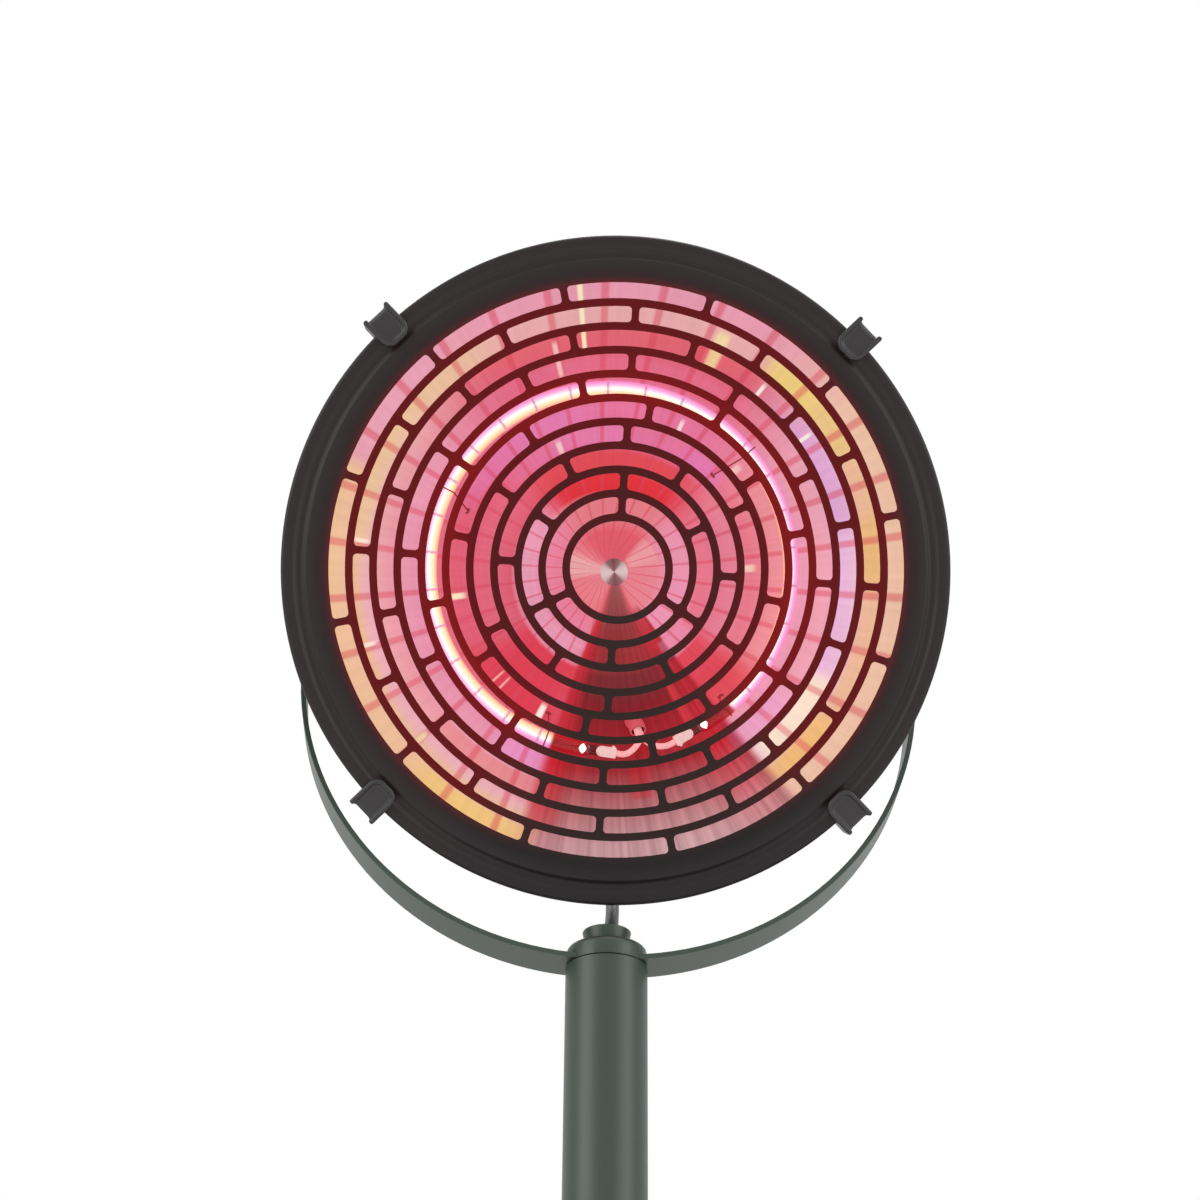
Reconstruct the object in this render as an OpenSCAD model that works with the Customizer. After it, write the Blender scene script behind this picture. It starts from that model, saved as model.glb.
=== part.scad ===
// Free-standing electric patio heater: a round halogen head in a U-shaped yoke on a tubular post.
// The origin is on the floor under the post. +Z is up, and the head faces -Y.
// The head is drawn in its own frame: z runs forward along its axis from the tilt axis, y is up, x is right.

/* [Overall] */
// Height of the post's top edge above the floor
post_h = 1660; // [1200:10:2000]
// Radius of the head's rim
rim_r = 200; // [190:0.5:204]
// Distance from the tilt axis to the front of the rim
rim_front = 110; // [104:1:125]
// Distance from the tilt axis back to the housing's flat back
housing_back = 22; // [16:1:26]
// Height of the tilt axis above the yoke's seat
pivot_rise = 267.9; // [264:0.1:300]
// Angle that the head looks down by
head_tilt = 28.7; // [26:0.1:31]

/* [Grille] */
// Thickness of the pressed sheet
sheet_t = 1.5; // [1:0.1:2]
// Radius of the open centre
hole_r = 28.4; // [20:0.1:32]
// Radial width of a slot
slot_w = 9.73; // [8:0.01:10]
// Width of the web between two slots
web_w = 4.6; // [3.5:0.1:5]
// Width of the bridges across a ring of slots
bridge_w = 4.5; // [3:0.1:6]
// Angle that the whole pattern is turned by, clockwise from the top
pattern_turn = 2.2; // [0:0.1:30]
// Width of the crest outside the groove
crest_w = 8.6; // [7:0.1:9.5]
// Width of the groove round the plate
groove_w = 5.4; // [4.5:0.1:6]
// Depth of the groove
groove_d = 2.2; // [1.5:0.1:4.5]
// Length of the skirt behind the crest
skirt_h = 13; // [12:0.5:15]

/* [Rim clips] */
// Width of a clip
clip_w = 19.5; // [16:0.5:22]
// Thickness of the tongue on the crest
tongue_t = 2.4; // [1.8:0.1:3]
// Height of the lip round the tongue
lip_h = 1.8; // [1:0.1:2.5]
// Width of the lip and thickness of the ears
lip_w = 2.2; // [1.5:0.1:3]
// How far the clip stands out beyond the rim
clip_out = 7.8; // [6:0.1:8]
// How far the ears stand out beyond the clip's outer wall
ear_out = 2.1; // [1:0.1:2.3]
// Angle of the first clip, clockwise from the top
clip_turn = 44.6; // [40:0.1:50]
// Radius of the clamping screw
clip_screw_r = 2; // [1.5:0.1:2.5]

/* [Housing] */
// Wall of the housing
shell_t = 1.2; // [0.8:0.1:1.6]
// Step from the rim in to the housing's wall
flange_w = 14; // [12:0.5:16]
// Length of the housing's straight neck behind the flange
neck_h = 7.8; // [6:0.2:10]
// Depth that the housing's curve would have if it weren't cut flat
bowl_depth = 118; // [114:1:124]
// How square the housing's curve is, where 2 is an ellipse
bowl_power = 2.5; // [2.3:0.1:2.7]

/* [Reflector] */
// Thickness of the spun sheet
spun_t = 1; // [0.6:0.1:1.2]
// Radius of the reflector's mouth
mouth_r = 176; // [173:0.5:178]
// Radius of the valley between the cone and the bowl
valley_r = 62; // [50:1:75]
// Distance of the valley behind the reflector's mouth
valley_d = 70; // [60:1:74]
// Radius of the cone's blunt tip
tip_r = 8; // [6:0.5:12]
// Height of the cone's tip above the valley
tip_h = 38; // [30:1:45]
// How hollow the cone's side is, where 1 is straight
cone_power = 1.35; // [1:0.05:1.6]
// How round the bowl's side is, where 1 is straight
bowl_side_power = 2; // [1.6:0.1:2.4]

/* [Lamp] */
// Radius of the lamp's ring
lamp_r = 112; // [108:0.5:114]
// Radius of the quartz tube
tube_r = 5; // [4:0.1:6]
// Wall of the quartz tube
quartz_t = 1; // [0.8:0.1:1.4]
// Distance of the lamp behind the rim's front
lamp_depth = 55; // [50:1:58]
// Sideways offset of the lamp's centre
lamp_x = -2; // [-4:0.1:4]
// Upward offset of the lamp's centre
lamp_y = 2.3; // [-4:0.1:5]
// Angle of the middle of the lamp's gap, clockwise from the top
gap_turn = 167; // [160:0.1:180]
// Angle that the gap spans
gap_span = 39.5; // [34:0.1:42]
// Radius of the filament
filament_r = 1.1; // [0.8:0.1:1.5]
// Number of rings that carry the filament
support_count = 25; // [15:1:25]
// Angle between two of these rings
support_pitch = 12; // [10:0.1:12]
// Angle of the first of these rings, clockwise from the top
support_turn = 201.4; // [198:0.1:204]
// Radius of the lamp's sleeved leads
lamp_lead_r = 1.9; // [1.5:0.1:2]

/* [Yoke] */
// Outer half width of the yoke
yoke_r = 190; // [188:0.5:200]
// Thickness of the flat bar
yoke_t = 3; // [2.5:0.1:3.2]
// Width of the flat bar
yoke_w = 30; // [26:1:32]
// Half length of the flat seat at the yoke's bottom
seat_half = 4.5; // [4:0.5:12]

/* [Post top] */
// Outer radius of the post
post_r = 24; // [22:0.5:26]
// Wall of the post
post_t = 2; // [1.5:0.1:2.5]
// Radius of the swivel stem
stem_r = 8; // [7.5:0.1:9]
// Radius of the passage for the lead
passage_r = 5.5; // [5.2:0.1:5.8]
// Step from the post in to the cap
cap_step = 0.6; // [0.2:0.1:1.5]
// Height of the cap
cap_h = 13; // [11:0.5:15]
// Open seam between the post and the cap
seam_gap = 0.9; // [0.4:0.1:1.2]
// Radius of the cap's rounded edge
cap_round = 4; // [2:0.5:5]
// Radius of the funnel's neck
funnel_neck_r = 12.6; // [11:0.1:14]
// Radius of the funnel's mouth
funnel_mouth_r = 14.3; // [13:0.1:16]
// Height of the funnel
funnel_h = 9.4; // [8:0.1:10]
// Length of the plug in the post's top
plug_h = 32; // [25:1:45]

/* [Tilt clamps] */
// Thickness of the rear cross bracket
bracket_t = 4; // [3:0.5:4.5]
// Width of the cross bracket
bracket_w = 30; // [26:1:32]
// Radius of the tilt stud
stud_r = 4; // [3:0.5:5]
// Thickness of the friction washer
washer_t = 2.7; // [2:0.1:3.5]
// Radius of the friction washer
washer_r = 14; // [11:0.5:14]
// Depth of a clamp knob
knob_h = 16; // [13:0.5:17]
// Radius of a clamp knob over its lobes
knob_r = 20; // [17:0.5:24]

/* [Terminal box] */
// Width of the box
box_w = 100; // [92:1:106]
// Height of the box
box_h = 90; // [86:1:100]
// Depth of the box behind the housing
box_d = 41; // [39:1:46]
// Wall of the box
box_t = 2.2; // [1.8:0.1:2.6]
// Thickness of the box's cover
cover_t = 2.5; // [2:0.1:3]

/* [Lead] */
// Radius of the supply lead
lead_r = 4.05; // [3:0.05:4.2]

/* [Base] */
// Radius of the base plate
base_r = 230; // [210:5:300]
// Thickness of the base plate
base_t = 10; // [8:1:20]
// Radius of the collar's flange
collar_r = 58; // [52:1:80]
// Height of the collar
collar_h = 76; // [60:1:80]
// Radius of a foot
foot_r = 18; // [12:1:30]
// Height of a foot
foot_h = 8; // [6:0.5:15]
// Radius of the circle that the feet stand on
foot_circle = 196; // [150:1:205]

/* [Hidden] */
$fn = 64;

green_paint = "#3d4c42";
black_paint = "#2f2d30";
steel = "#b9bcc0";
spun = "#d5606f";
ceramic = "#e9d9d2";
rubber = "#2b2b2c";
quartz = "#ffe2c4";

// Clearances
turn_gap = 0.3;
running_fit = 0.06;
loose_fit = 0.15;
thread_fit = 0.1;
cut = 1;

// Places along the head's axis
flange_top = rim_front - skirt_h;
flange_bottom = flange_top - shell_t;
neck_z = flange_bottom - neck_h;
back_z = -housing_back;
bowl_r = rim_r - flange_w;
mouth_z = flange_top + spun_t;
valley_z = mouth_z - valley_d;
lamp_z = rim_front - lamp_depth;
shield_z = 6;
shield_t = 1;
floor_z = back_z - bracket_t;
box_top = back_z - box_d;
cover_z = box_top - 1;
cover_back = cover_z - cover_t;

// Grille
plate_r = rim_r - crest_w - groove_w;
slot_pitch = slot_w + web_w;
ring_bridges = [3, 6, 6, 6, 8, 8, 12, 12, 12, 12];
ring_turn = [0, 0, 30, 0, 7.5, 30, 0, 15, 0, 15];

// Places at the post's top, measured up from the post's top edge
yoke_seat = turn_gap;
pivot_z = post_h + yoke_seat + pivot_rise;
cap_top = yoke_seat + cap_h;
funnel_top = cap_top + funnel_h;
yoke_bend_r = yoke_r - seat_half;
washer_h = 1.5;
nut_h = 7;
nut_r = 13;
stem_end = -washer_h - plug_h - turn_gap - nut_h - 2;

// Tilt clamps
yoke_in = yoke_r - yoke_t;
bracket_out = yoke_in - turn_gap - washer_t;
bracket_in = bracket_out - bracket_t;
bracket_corner = 9;
stud_head_h = 5.5;
knob_start = yoke_r + turn_gap;
knob_hub_r = 11;
knob_bore_h = 12.5;
lobe_r = 4.6;

// Screws
post_screw_r = 2.5;
bracket_screw_x = box_w / 2 + 18;
bracket_screw_y = 8;
bracket_screw_r = 2.5;
shield_circle = 75;
shield_screw_r = 2;
box_screw_x = 30;
cover_screw_in = 6.5;
cover_screw_r = 1.6;
boss_r = 4;
collar_pcd = 92;
collar_screw_r = 3;

// Rim clips
clip_floor_r = rim_r + clip_out;
clip_in_r = plate_r + 1;
clip_wall_t = 3;
hook_top = flange_bottom - turn_gap;
hook_t = 3.7;
clip_screw_in = 8.5;
clip_screw_y = bowl_r + clip_screw_in;
clip_hook_in = 3;
clip_head_r = 3.8;
clip_head_h = 3;

// Lamp
lamp_start = 90 - gap_turn + gap_span / 2;
lamp_sweep = 360 - gap_span;
pinch_l = 10;
pinch_w = 6;
pinch_t = 2.4;
cap_l = 12.4;
cap_w = 6.6;
pinch_in = 3;
filament_short = 0.4;
holder_turns = [48, 138.5, 199, 294];
holder_wire_r = 0.8;
shield_r = 138;

// Terminal block
block_l = 18;
block_y = -(box_h / 2 - box_t - 25.8) + block_l / 2;
block_w = 36;
block_h = 14;
floor_t = box_t;
tip_switch_x = -(box_w / 2 - 12);

// Leads
bushing_x = 18.3;
bushing_y = -95;
bushing_r = 5.6;
lead_pair = 2.3;
grommet_x = 8;
grommet_r = 6.8;
grommet_flange_r = 9;
grommet_y = -(box_h / 2 - box_t - grommet_flange_r - turn_gap);
gland_z = back_z - 22;
gland_hex_r = 9.5;
boot_start = 15;
boot_h = 28;
boot_end_r = lead_r + 0.9;
boot_stem_r = 4.4;
lead_gland_z = foot_h + base_t + 100;
boot_y = -box_h / 2 - boot_start - boot_h;
boot_end = [
  0,
  -gland_z * cos(head_tilt) - boot_y * sin(head_tilt),
  pivot_z - post_h - gland_z * sin(head_tilt) + boot_y * cos(head_tilt)
];
boot_axis = [0, -sin(head_tilt), cos(head_tilt)];

// Switch
switch_x = 16;
switch_y = box_h / 2 - 25;
switch_w = 19;
switch_h = 27;
pocket_w = 13.6;
pocket_h = 22.8;
rocker_z = cover_back + 0.5;
rocker_angle = 8;
rocker_pin_r = 1.2;

base_top = foot_h + base_t;
lower_post_h = 820;
joint_z = base_top + lower_post_h;
joint_h = 160;
collar_wall = 5;

// The supply lead's route, measured from the post's top edge: x, back, up
lead_route = [
  [0, 0, 9], [0, 0, 12], [0.6, 0.25, 16], [1.4, 1, 19.5], [2.2, 2.5, 22.7], [2.7, 5, 26.4], [3.1, 8.6, 30.4],
  [3.6, 13.6, 35.2], [4.1, 19.5, 40.6], [4.6, 26.5, 46.8], [5, 34, 53.4], [5.3, 42, 61], [5.4, 50, 69.3],
  [5.2, 58, 78.5], [4.7, 66, 89], [3.9, 73.5, 100.5], [2.9, 80, 113], [1.9, 85.3, 126], [1, 89.3, 139],
  [0.4, 92, 152], [0, 93.3, 165], [0, 92.8, 178], [0, 90.8, 190]
];
// Inside the post, measured from the floor, and from its top edge for the first point
post_lead_route = [
  [0, 0, post_h + 9], [0, 0, post_h - 300], [0, 0, joint_z], [0, 0, lead_gland_z + 200],
  [0, -2, lead_gland_z + 140], [0, -6, lead_gland_z + 95], [0, -9.5, lead_gland_z + 60],
  [0, -10.8, lead_gland_z + 42], [0, -10.8, lead_gland_z + 30], [0, -8.5, lead_gland_z + 18.5],
  [0, -2, lead_gland_z + 8.8], [0, 7.7, lead_gland_z + 2.3], [0, 19.2, lead_gland_z],
  [0, post_r + 14, lead_gland_z]
];

// Sweeps a round tube with flat ends along points
function unit(v) = v / norm(v);
function heading(p, i) =
  i == 0 ? unit(p[1] - p[0])
  : i == len(p) - 1 ? unit(p[i] - p[i - 1])
  : unit(unit(p[i + 1] - p[i]) + unit(p[i] - p[i - 1]));
function squared(side, t) = unit(side - (side * t) * t);
function sides_of(p, side, i = 0) =
  i == len(p) ? []
  : let (s = squared(side, heading(p, i))) concat([s], sides_of(p, s, i + 1));

module tube_along(p, r, n, side = [1, 0, 0]) {
  s = sides_of(p, side);
  last = len(p) - 1;
  points = [
    for (i = [0 : last], k = [0 : n - 1])
      let (a = 360 * k / n, u = s[i], v = cross(heading(p, i), u))
        p[i] + r * (cos(a) * u + sin(a) * v)
  ];
  walls = [
    for (i = [0 : last - 1], k = [0 : n - 1])
      let (m = (k + 1) % n) [i * n + k, (i + 1) * n + k, (i + 1) * n + m, i * n + m]
  ];
  start = [for (k = [0 : n - 1]) k];
  end = [for (k = [n - 1 : -1 : 0]) last * n + k];
  polyhedron(points, concat([start], walls, [end]));
}

// Curves of the head's shells
function bowl_angle(depth, dome) = asin(pow(depth / dome, bowl_power / 2));
function bowl_curve(r, dome, depth, steps = 14) = [
  for (i = [0 : steps])
    let (a = bowl_angle(depth, dome) * i / steps)
      [r * pow(cos(a), 2 / bowl_power), neck_z - dome * pow(sin(a), 2 / bowl_power)]
];
function reflector_z(r) =
  r <= tip_r ? valley_z + tip_h
  : r < valley_r ? valley_z + tip_h * pow((valley_r - r) / (valley_r - tip_r), cone_power)
  : valley_z + valley_d * pow((r - valley_r) / (mouth_r - valley_r), bowl_side_power);
reflector_steps = 12;
reflector_line = concat(
  [[0, valley_z + tip_h]],
  [for (i = [0 : reflector_steps]) let (r = tip_r + (valley_r - tip_r) * i / reflector_steps) [r, reflector_z(r)]],
  [for (i = [1 : reflector_steps]) let (r = valley_r + (mouth_r - valley_r) * i / reflector_steps) [r, reflector_z(r)]],
  [[rim_r - sheet_t - 2, mouth_z]]
);
function reversed(p) = [for (i = [len(p) - 1 : -1 : 0]) p[i]];

// Frames
module head() translate([0, 0, pivot_z]) rotate([90 + head_tilt, 0, 0]) children();
module at_seam() translate([0, 0, post_h]) children();
module clockwise(a) rotate([0, 0, -a]) children();
module along_x(x, r, h) translate([x, 0, 0]) rotate([0, 90, 0]) cylinder(r = r, h = h);

// A screw that points down its own -z, with its head on z = 0
module screw(r, h, head_r, head_h) {
  translate([0, 0, -h]) cylinder(r = r, h = h);
  cylinder(r = head_r, h = head_h);
}

// A plate with round corners, from z = 0
module round_plate(w, l, h, r) {
  translate([-w / 2 + r, -l / 2, 0]) cube([w - 2 * r, l, h]);
  translate([-w / 2, -l / 2 + r, 0]) cube([w, l - 2 * r, h]);
  for (x = [-1, 1], y = [-1, 1])
    translate([x * (w / 2 - r), y * (l / 2 - r), 0]) cylinder(r = r, h = h);
}

// Base
module base_plate() color(green_paint) {
  edge = 3;
  difference() {
    translate([0, 0, foot_h]) rotate_extrude()
      polygon([
        [0, 0], [base_r - 1, 0], [base_r, 1], [base_r, base_t - edge],
        [base_r - edge, base_t], [0, base_t]
      ]);
    for (a = [45 : 90 : 315])
      rotate([0, 0, a]) {
        translate([collar_pcd / 2, 0, base_top - 7]) cylinder(r = collar_screw_r + thread_fit, h = 7 + cut);
        translate([foot_circle, 0, foot_h - cut]) cylinder(r = 4 + thread_fit, h = 6 + cut);
      }
  }
}

module base_feet() color(rubber) for (a = [45 : 90 : 315])
  rotate([0, 0, a]) translate([foot_circle, 0, 0]) {
    rotate_extrude() polygon([[0, 0], [foot_r - 2, 0], [foot_r, 2], [foot_r, foot_h], [0, foot_h]]);
    cylinder(r = 4, h = foot_h + 5.5);
  }

module post_collar() color(green_paint) {
  flange_t = 6;
  fillet = 7;
  wall_r = post_r + collar_wall;
  difference() {
    translate([0, 0, base_top]) rotate_extrude()
      polygon(concat(
        [[post_r + loose_fit, 0], [collar_r - 1, 0], [collar_r, 1], [collar_r, flange_t - 1.5]],
        [[collar_r - 1.5, flange_t]],
        [for (a = [0 : 15 : 90]) [wall_r + fillet - fillet * sin(a), flange_t + fillet - fillet * cos(a)]],
        [[wall_r, collar_h - 2], [wall_r - 2, collar_h], [post_r + loose_fit, collar_h]]
      ));
    for (a = [45 : 90 : 315])
      rotate([0, 0, a]) translate([collar_pcd / 2, 0, base_top - cut])
        cylinder(r = collar_screw_r + thread_fit, h = flange_t + 2 * cut);
    translate([0, 0, base_top + collar_h - 16]) rotate([-90, 0, 0])
      cylinder(r = collar_screw_r + thread_fit, h = post_r + collar_wall + cut);
  }
}

module collar_screws() color(steel) {
  for (a = [45 : 90 : 315])
    rotate([0, 0, a]) translate([collar_pcd / 2, 0, base_top + 6]) screw(collar_screw_r, 12.5, 5.5, 4);
  translate([0, post_r + collar_wall + 0.3, base_top + collar_h - 16]) rotate([-90, 0, 0])
    screw(collar_screw_r, collar_wall, 5.5, 4);
}

// Post
module lower_post() color(green_paint) difference() {
  translate([0, 0, base_top]) cylinder(r = post_r, h = joint_z - base_top);
  translate([0, 0, base_top - cut]) cylinder(r = post_r - post_t, h = joint_z - base_top + 2 * cut);
  translate([0, 0, lead_gland_z]) rotate([-90, 0, 0]) cylinder(r = 6 + loose_fit, h = post_r + cut);
  for (z = [20, 60])
    translate([0, 0, joint_z - z]) rotate([-90, 0, 0])
      cylinder(r = post_screw_r + thread_fit, h = post_r + cut);
}

module upper_post() color(green_paint) difference() {
  translate([0, 0, joint_z]) cylinder(r = post_r, h = post_h - joint_z);
  translate([0, 0, joint_z - cut]) cylinder(r = post_r - post_t, h = post_h - joint_z + 2 * cut);
  for (z = [joint_z + 20, joint_z + 60, post_h - washer_h - plug_h / 2])
    translate([0, 0, z]) rotate([-90, 0, 0]) cylinder(r = post_screw_r + thread_fit, h = post_r + cut);
}

module post_joint() color(steel) difference() {
  sleeve_r = post_r - post_t - loose_fit;
  translate([0, 0, joint_z - joint_h / 2]) cylinder(r = sleeve_r, h = joint_h);
  translate([0, 0, joint_z - joint_h / 2 - cut]) cylinder(r = sleeve_r - 2.4, h = joint_h + 2 * cut);
  for (z = [-60, -20, 20, 60])
    translate([0, 0, joint_z + z]) rotate([-90, 0, 0])
      cylinder(r = post_screw_r + thread_fit, h = post_r + cut);
}

module post_screws() color(steel)
  for (z = [joint_z - 60, joint_z - 20, joint_z + 20, joint_z + 60, post_h - washer_h - plug_h / 2])
    translate([0, post_r + 0.1, z]) rotate([-90, 0, 0]) screw(post_screw_r, post_t + 3.5, 4.6, 2.6);

module lead_gland() color(rubber)
  translate([0, post_r + 0.3, lead_gland_z]) rotate([-90, 0, 0]) rotate_extrude()
    polygon([
      [lead_r + loose_fit, -4], [6, -4], [6, 0], [9, 0], [9, 4], [7.5, 4.5], [7, 10], [5.5, 13],
      [lead_r + loose_fit, 13]
    ]);

module post_lead() color(rubber) tube_along(post_lead_route, lead_r, 10);

// Swivel at the post's top
module swivel_plug() color(steel) at_seam() difference() {
  translate([0, 0, -washer_h - plug_h]) cylinder(r = post_r - post_t - loose_fit, h = plug_h);
  translate([0, 0, -washer_h - plug_h - cut]) cylinder(r = stem_r + running_fit, h = plug_h + 2 * cut);
  translate([0, 0, -washer_h - plug_h / 2]) rotate([-90, 0, 0])
    translate([0, 0, stem_r + 4]) cylinder(r = post_screw_r + thread_fit, h = post_r);
}

module swivel_washer() color("#d8d4c8") at_seam() translate([0, 0, -washer_h]) difference() {
  cylinder(r = post_r - post_t - loose_fit, h = washer_h);
  translate([0, 0, -cut]) cylinder(r = stem_r + loose_fit, h = washer_h + 2 * cut);
}

module swivel_cap() color(green_paint) at_seam() difference() {
  cap_r = post_r - cap_step;
  translate([0, 0, yoke_seat]) rotate_extrude()
    polygon(concat(
      [[stem_r + thread_fit, seam_gap - yoke_seat], [cap_r, seam_gap - yoke_seat]],
      [
        for (a = [0 : 15 : 90])
          [cap_r - 1.7 * cap_round * (1 - cos(a)), cap_h - cap_round + cap_round * sin(a)]
      ],
      [[stem_r + thread_fit, cap_h]]
    ));
  translate([-post_r - cut, -yoke_w / 2 - loose_fit, yoke_seat - cut])
    cube([2 * (post_r + cut), yoke_w + 2 * loose_fit, yoke_t + cut]);
  translate([0, 0, yoke_seat]) rotate([90, 0, 0]) translate([0, 0, -yoke_w / 2 - loose_fit]) yoke_hollow();
}
// The space that the yoke's bar takes inside the cap, drawn with x across and y up
module yoke_hollow() {
  intersection() {
    yoke_bar(yoke_w + 2 * loose_fit);
    translate([-post_r - cut, -cut, -cut]) cube([2 * (post_r + cut), cap_h, yoke_w + 2]);
  }
}

// The yoke's bent bar, drawn flat with x across and y up, w thick along z
module yoke_bar(w) {
  bend_y = yoke_bend_r;
  difference() {
    union() {
      for (s = [-1, 1]) translate([s * seat_half, bend_y, 0]) cylinder(r = yoke_bend_r, h = w, $fn = 180);
      translate([-seat_half, 0, 0]) cube([2 * seat_half, 2 * yoke_bend_r, w]);
    }
    for (s = [-1, 1])
      translate([s * seat_half, bend_y, -cut])
        cylinder(r = yoke_bend_r - yoke_t, h = w + 2 * cut, $fn = 180);
    translate([-seat_half, yoke_t, -cut]) cube([2 * seat_half, 2 * yoke_bend_r, w + 2 * cut]);
    translate([-yoke_r - cut, bend_y, -cut]) cube([2 * (yoke_r + cut), 2 * yoke_r, w + 2 * cut]);
  }
}

module yoke() color(green_paint) translate([0, 0, post_h + yoke_seat]) difference() {
  union() {
    rotate([90, 0, 0]) translate([0, 0, -yoke_w / 2]) yoke_bar(yoke_w);
    for (s = [-1, 1]) {
      translate([s * (yoke_r - yoke_t / 2) - yoke_t / 2, -yoke_w / 2, yoke_bend_r])
        cube([yoke_t, yoke_w, pivot_rise - yoke_bend_r]);
      translate([s * (yoke_r - yoke_t / 2) - yoke_t / 2, 0, pivot_rise])
        rotate([0, 90, 0]) cylinder(r = yoke_w / 2, h = yoke_t);
    }
  }
  translate([0, 0, pivot_rise]) along_x(-yoke_r - cut, stud_r + running_fit, 2 * (yoke_r + cut));
  translate([0, 0, -cut]) cylinder(r = stem_r + thread_fit, h = yoke_t + 2 * cut);
}

module cable_funnel() color(green_paint) at_seam() rotate_extrude()
  polygon([
    [passage_r, stem_end], [stem_r, stem_end], [stem_r, cap_top], [funnel_neck_r, cap_top],
    [funnel_neck_r + 0.3, cap_top + funnel_h * 0.3], [funnel_mouth_r, funnel_top - 0.8],
    [funnel_mouth_r - 0.4, funnel_top], [funnel_mouth_r - 1.6, funnel_top],
    [funnel_mouth_r - 2.6, funnel_top - 1.2], [passage_r + 2.6, cap_top + funnel_h * 0.45],
    [passage_r + 0.8, cap_top + funnel_h * 0.1], [passage_r, cap_top - 3]
  ]);

module swivel_nut() color(steel) at_seam()
  translate([0, 0, -washer_h - plug_h - turn_gap - nut_h]) difference() {
    cylinder(r = nut_r, h = nut_h, $fn = 6);
    translate([0, 0, -cut]) cylinder(r = stem_r + thread_fit, h = nut_h + 2 * cut);
  }

module supply_lead() color(rubber) at_seam()
  tube_along(concat(lead_route, [boot_end - 12 * boot_axis, boot_end]), lead_r, 10);

// Head shells
module head_housing() color(black_paint) head() difference() {
  rotate_extrude($fn = 120) polygon(concat(
    [[bowl_r - shell_t, flange_top], [rim_r, flange_top], [rim_r, flange_bottom], [bowl_r, flange_bottom]],
    bowl_curve(bowl_r, bowl_depth, neck_z - back_z),
    [[0, back_z], [0, back_z + shell_t]],
    reversed(bowl_curve(bowl_r - shell_t, bowl_depth - shell_t, neck_z - back_z - shell_t))
  ));
  for (x = [-1, 1], y = [-1, 1])
    translate([x * bracket_screw_x, y * bracket_screw_y, back_z - cut])
      cylinder(r = bracket_screw_r + thread_fit, h = shell_t + 2 * cut);
  for (a = [45 : 90 : 315])
    rotate([0, 0, a]) translate([shield_circle, 0, back_z - cut])
      cylinder(r = shield_screw_r + thread_fit, h = shell_t + 2 * cut);
  translate([grommet_x, grommet_y, back_z - cut]) cylinder(r = grommet_r + loose_fit, h = shell_t + 2 * cut);
}

module front_grille() color(black_paint) head() {
  // Outline of the pressing from the plate over the groove and the crest to the skirt
  groove_mid = plate_r + groove_w / 2;
  crest_in = rim_r - crest_w;
  low = rim_front - groove_d;
  difference() {
    rotate_extrude($fn = 120) polygon([
      [0, rim_front], [plate_r - 1.4, rim_front], [plate_r - 0.2, rim_front - 0.6],
      [plate_r + 0.9, low + 0.5], [groove_mid - 0.6, low], [groove_mid + 0.6, low],
      [crest_in - 0.9, low + 0.5], [crest_in + 0.2, rim_front - 0.6], [crest_in + 1.4, rim_front],
      [rim_r - 2, rim_front], [rim_r - 0.6, rim_front - 0.6], [rim_r, rim_front - 2],
      [rim_r, flange_top], [rim_r - sheet_t, flange_top], [rim_r - sheet_t, rim_front - 2.2],
      [rim_r - 2.4, rim_front - sheet_t], [crest_in + 1.8, rim_front - sheet_t],
      [crest_in + 0.6, low - 0.4], [groove_mid + 0.8, low - sheet_t], [groove_mid - 0.8, low - sheet_t],
      [plate_r - 0.6, low - 0.4], [plate_r - 1.8, rim_front - sheet_t], [0, rim_front - sheet_t]
    ]);
    translate([0, 0, rim_front - sheet_t - cut]) {
      cylinder(r = hole_r, h = sheet_t + 2 * cut);
      for (i = [0 : len(ring_bridges) - 1]) difference() {
        cylinder(r = hole_r + (i + 1) * slot_pitch, h = sheet_t + 2 * cut);
        translate([0, 0, -cut]) cylinder(r = hole_r + web_w + i * slot_pitch, h = sheet_t + 4 * cut);
      }
    }
  }
  for (i = [0 : len(ring_bridges) - 1], k = [0 : ring_bridges[i] - 1])
    clockwise(pattern_turn + ring_turn[i] + 360 * k / ring_bridges[i])
      translate([-bridge_w / 2, hole_r + web_w + i * slot_pitch - web_w / 4, rim_front - sheet_t])
        cube([bridge_w, slot_w + web_w / 2, sheet_t]);
}

module rim_gasket() color("#8a857c") head() rotate_extrude()
  translate([plate_r + groove_w / 2 - 1.7, mouth_z]) square([3.4, rim_front - groove_d - sheet_t - mouth_z]);

module reflector() color(spun) head() difference() {
  rotate_extrude($fn = 120)
    polygon(concat(reflector_line, reversed([for (p = reflector_line) [p[0], p[1] - spun_t]])));
  translate([bushing_x, bushing_y, valley_z - 10]) cylinder(r = bushing_r + loose_fit, h = 40);
  for (a = holder_turns) translate([lamp_x, lamp_y, 0]) clockwise(a)
    translate([0, lamp_r, valley_z - 10]) cylinder(r = holder_wire_r + turn_gap, h = lamp_z - valley_z);
}

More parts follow.
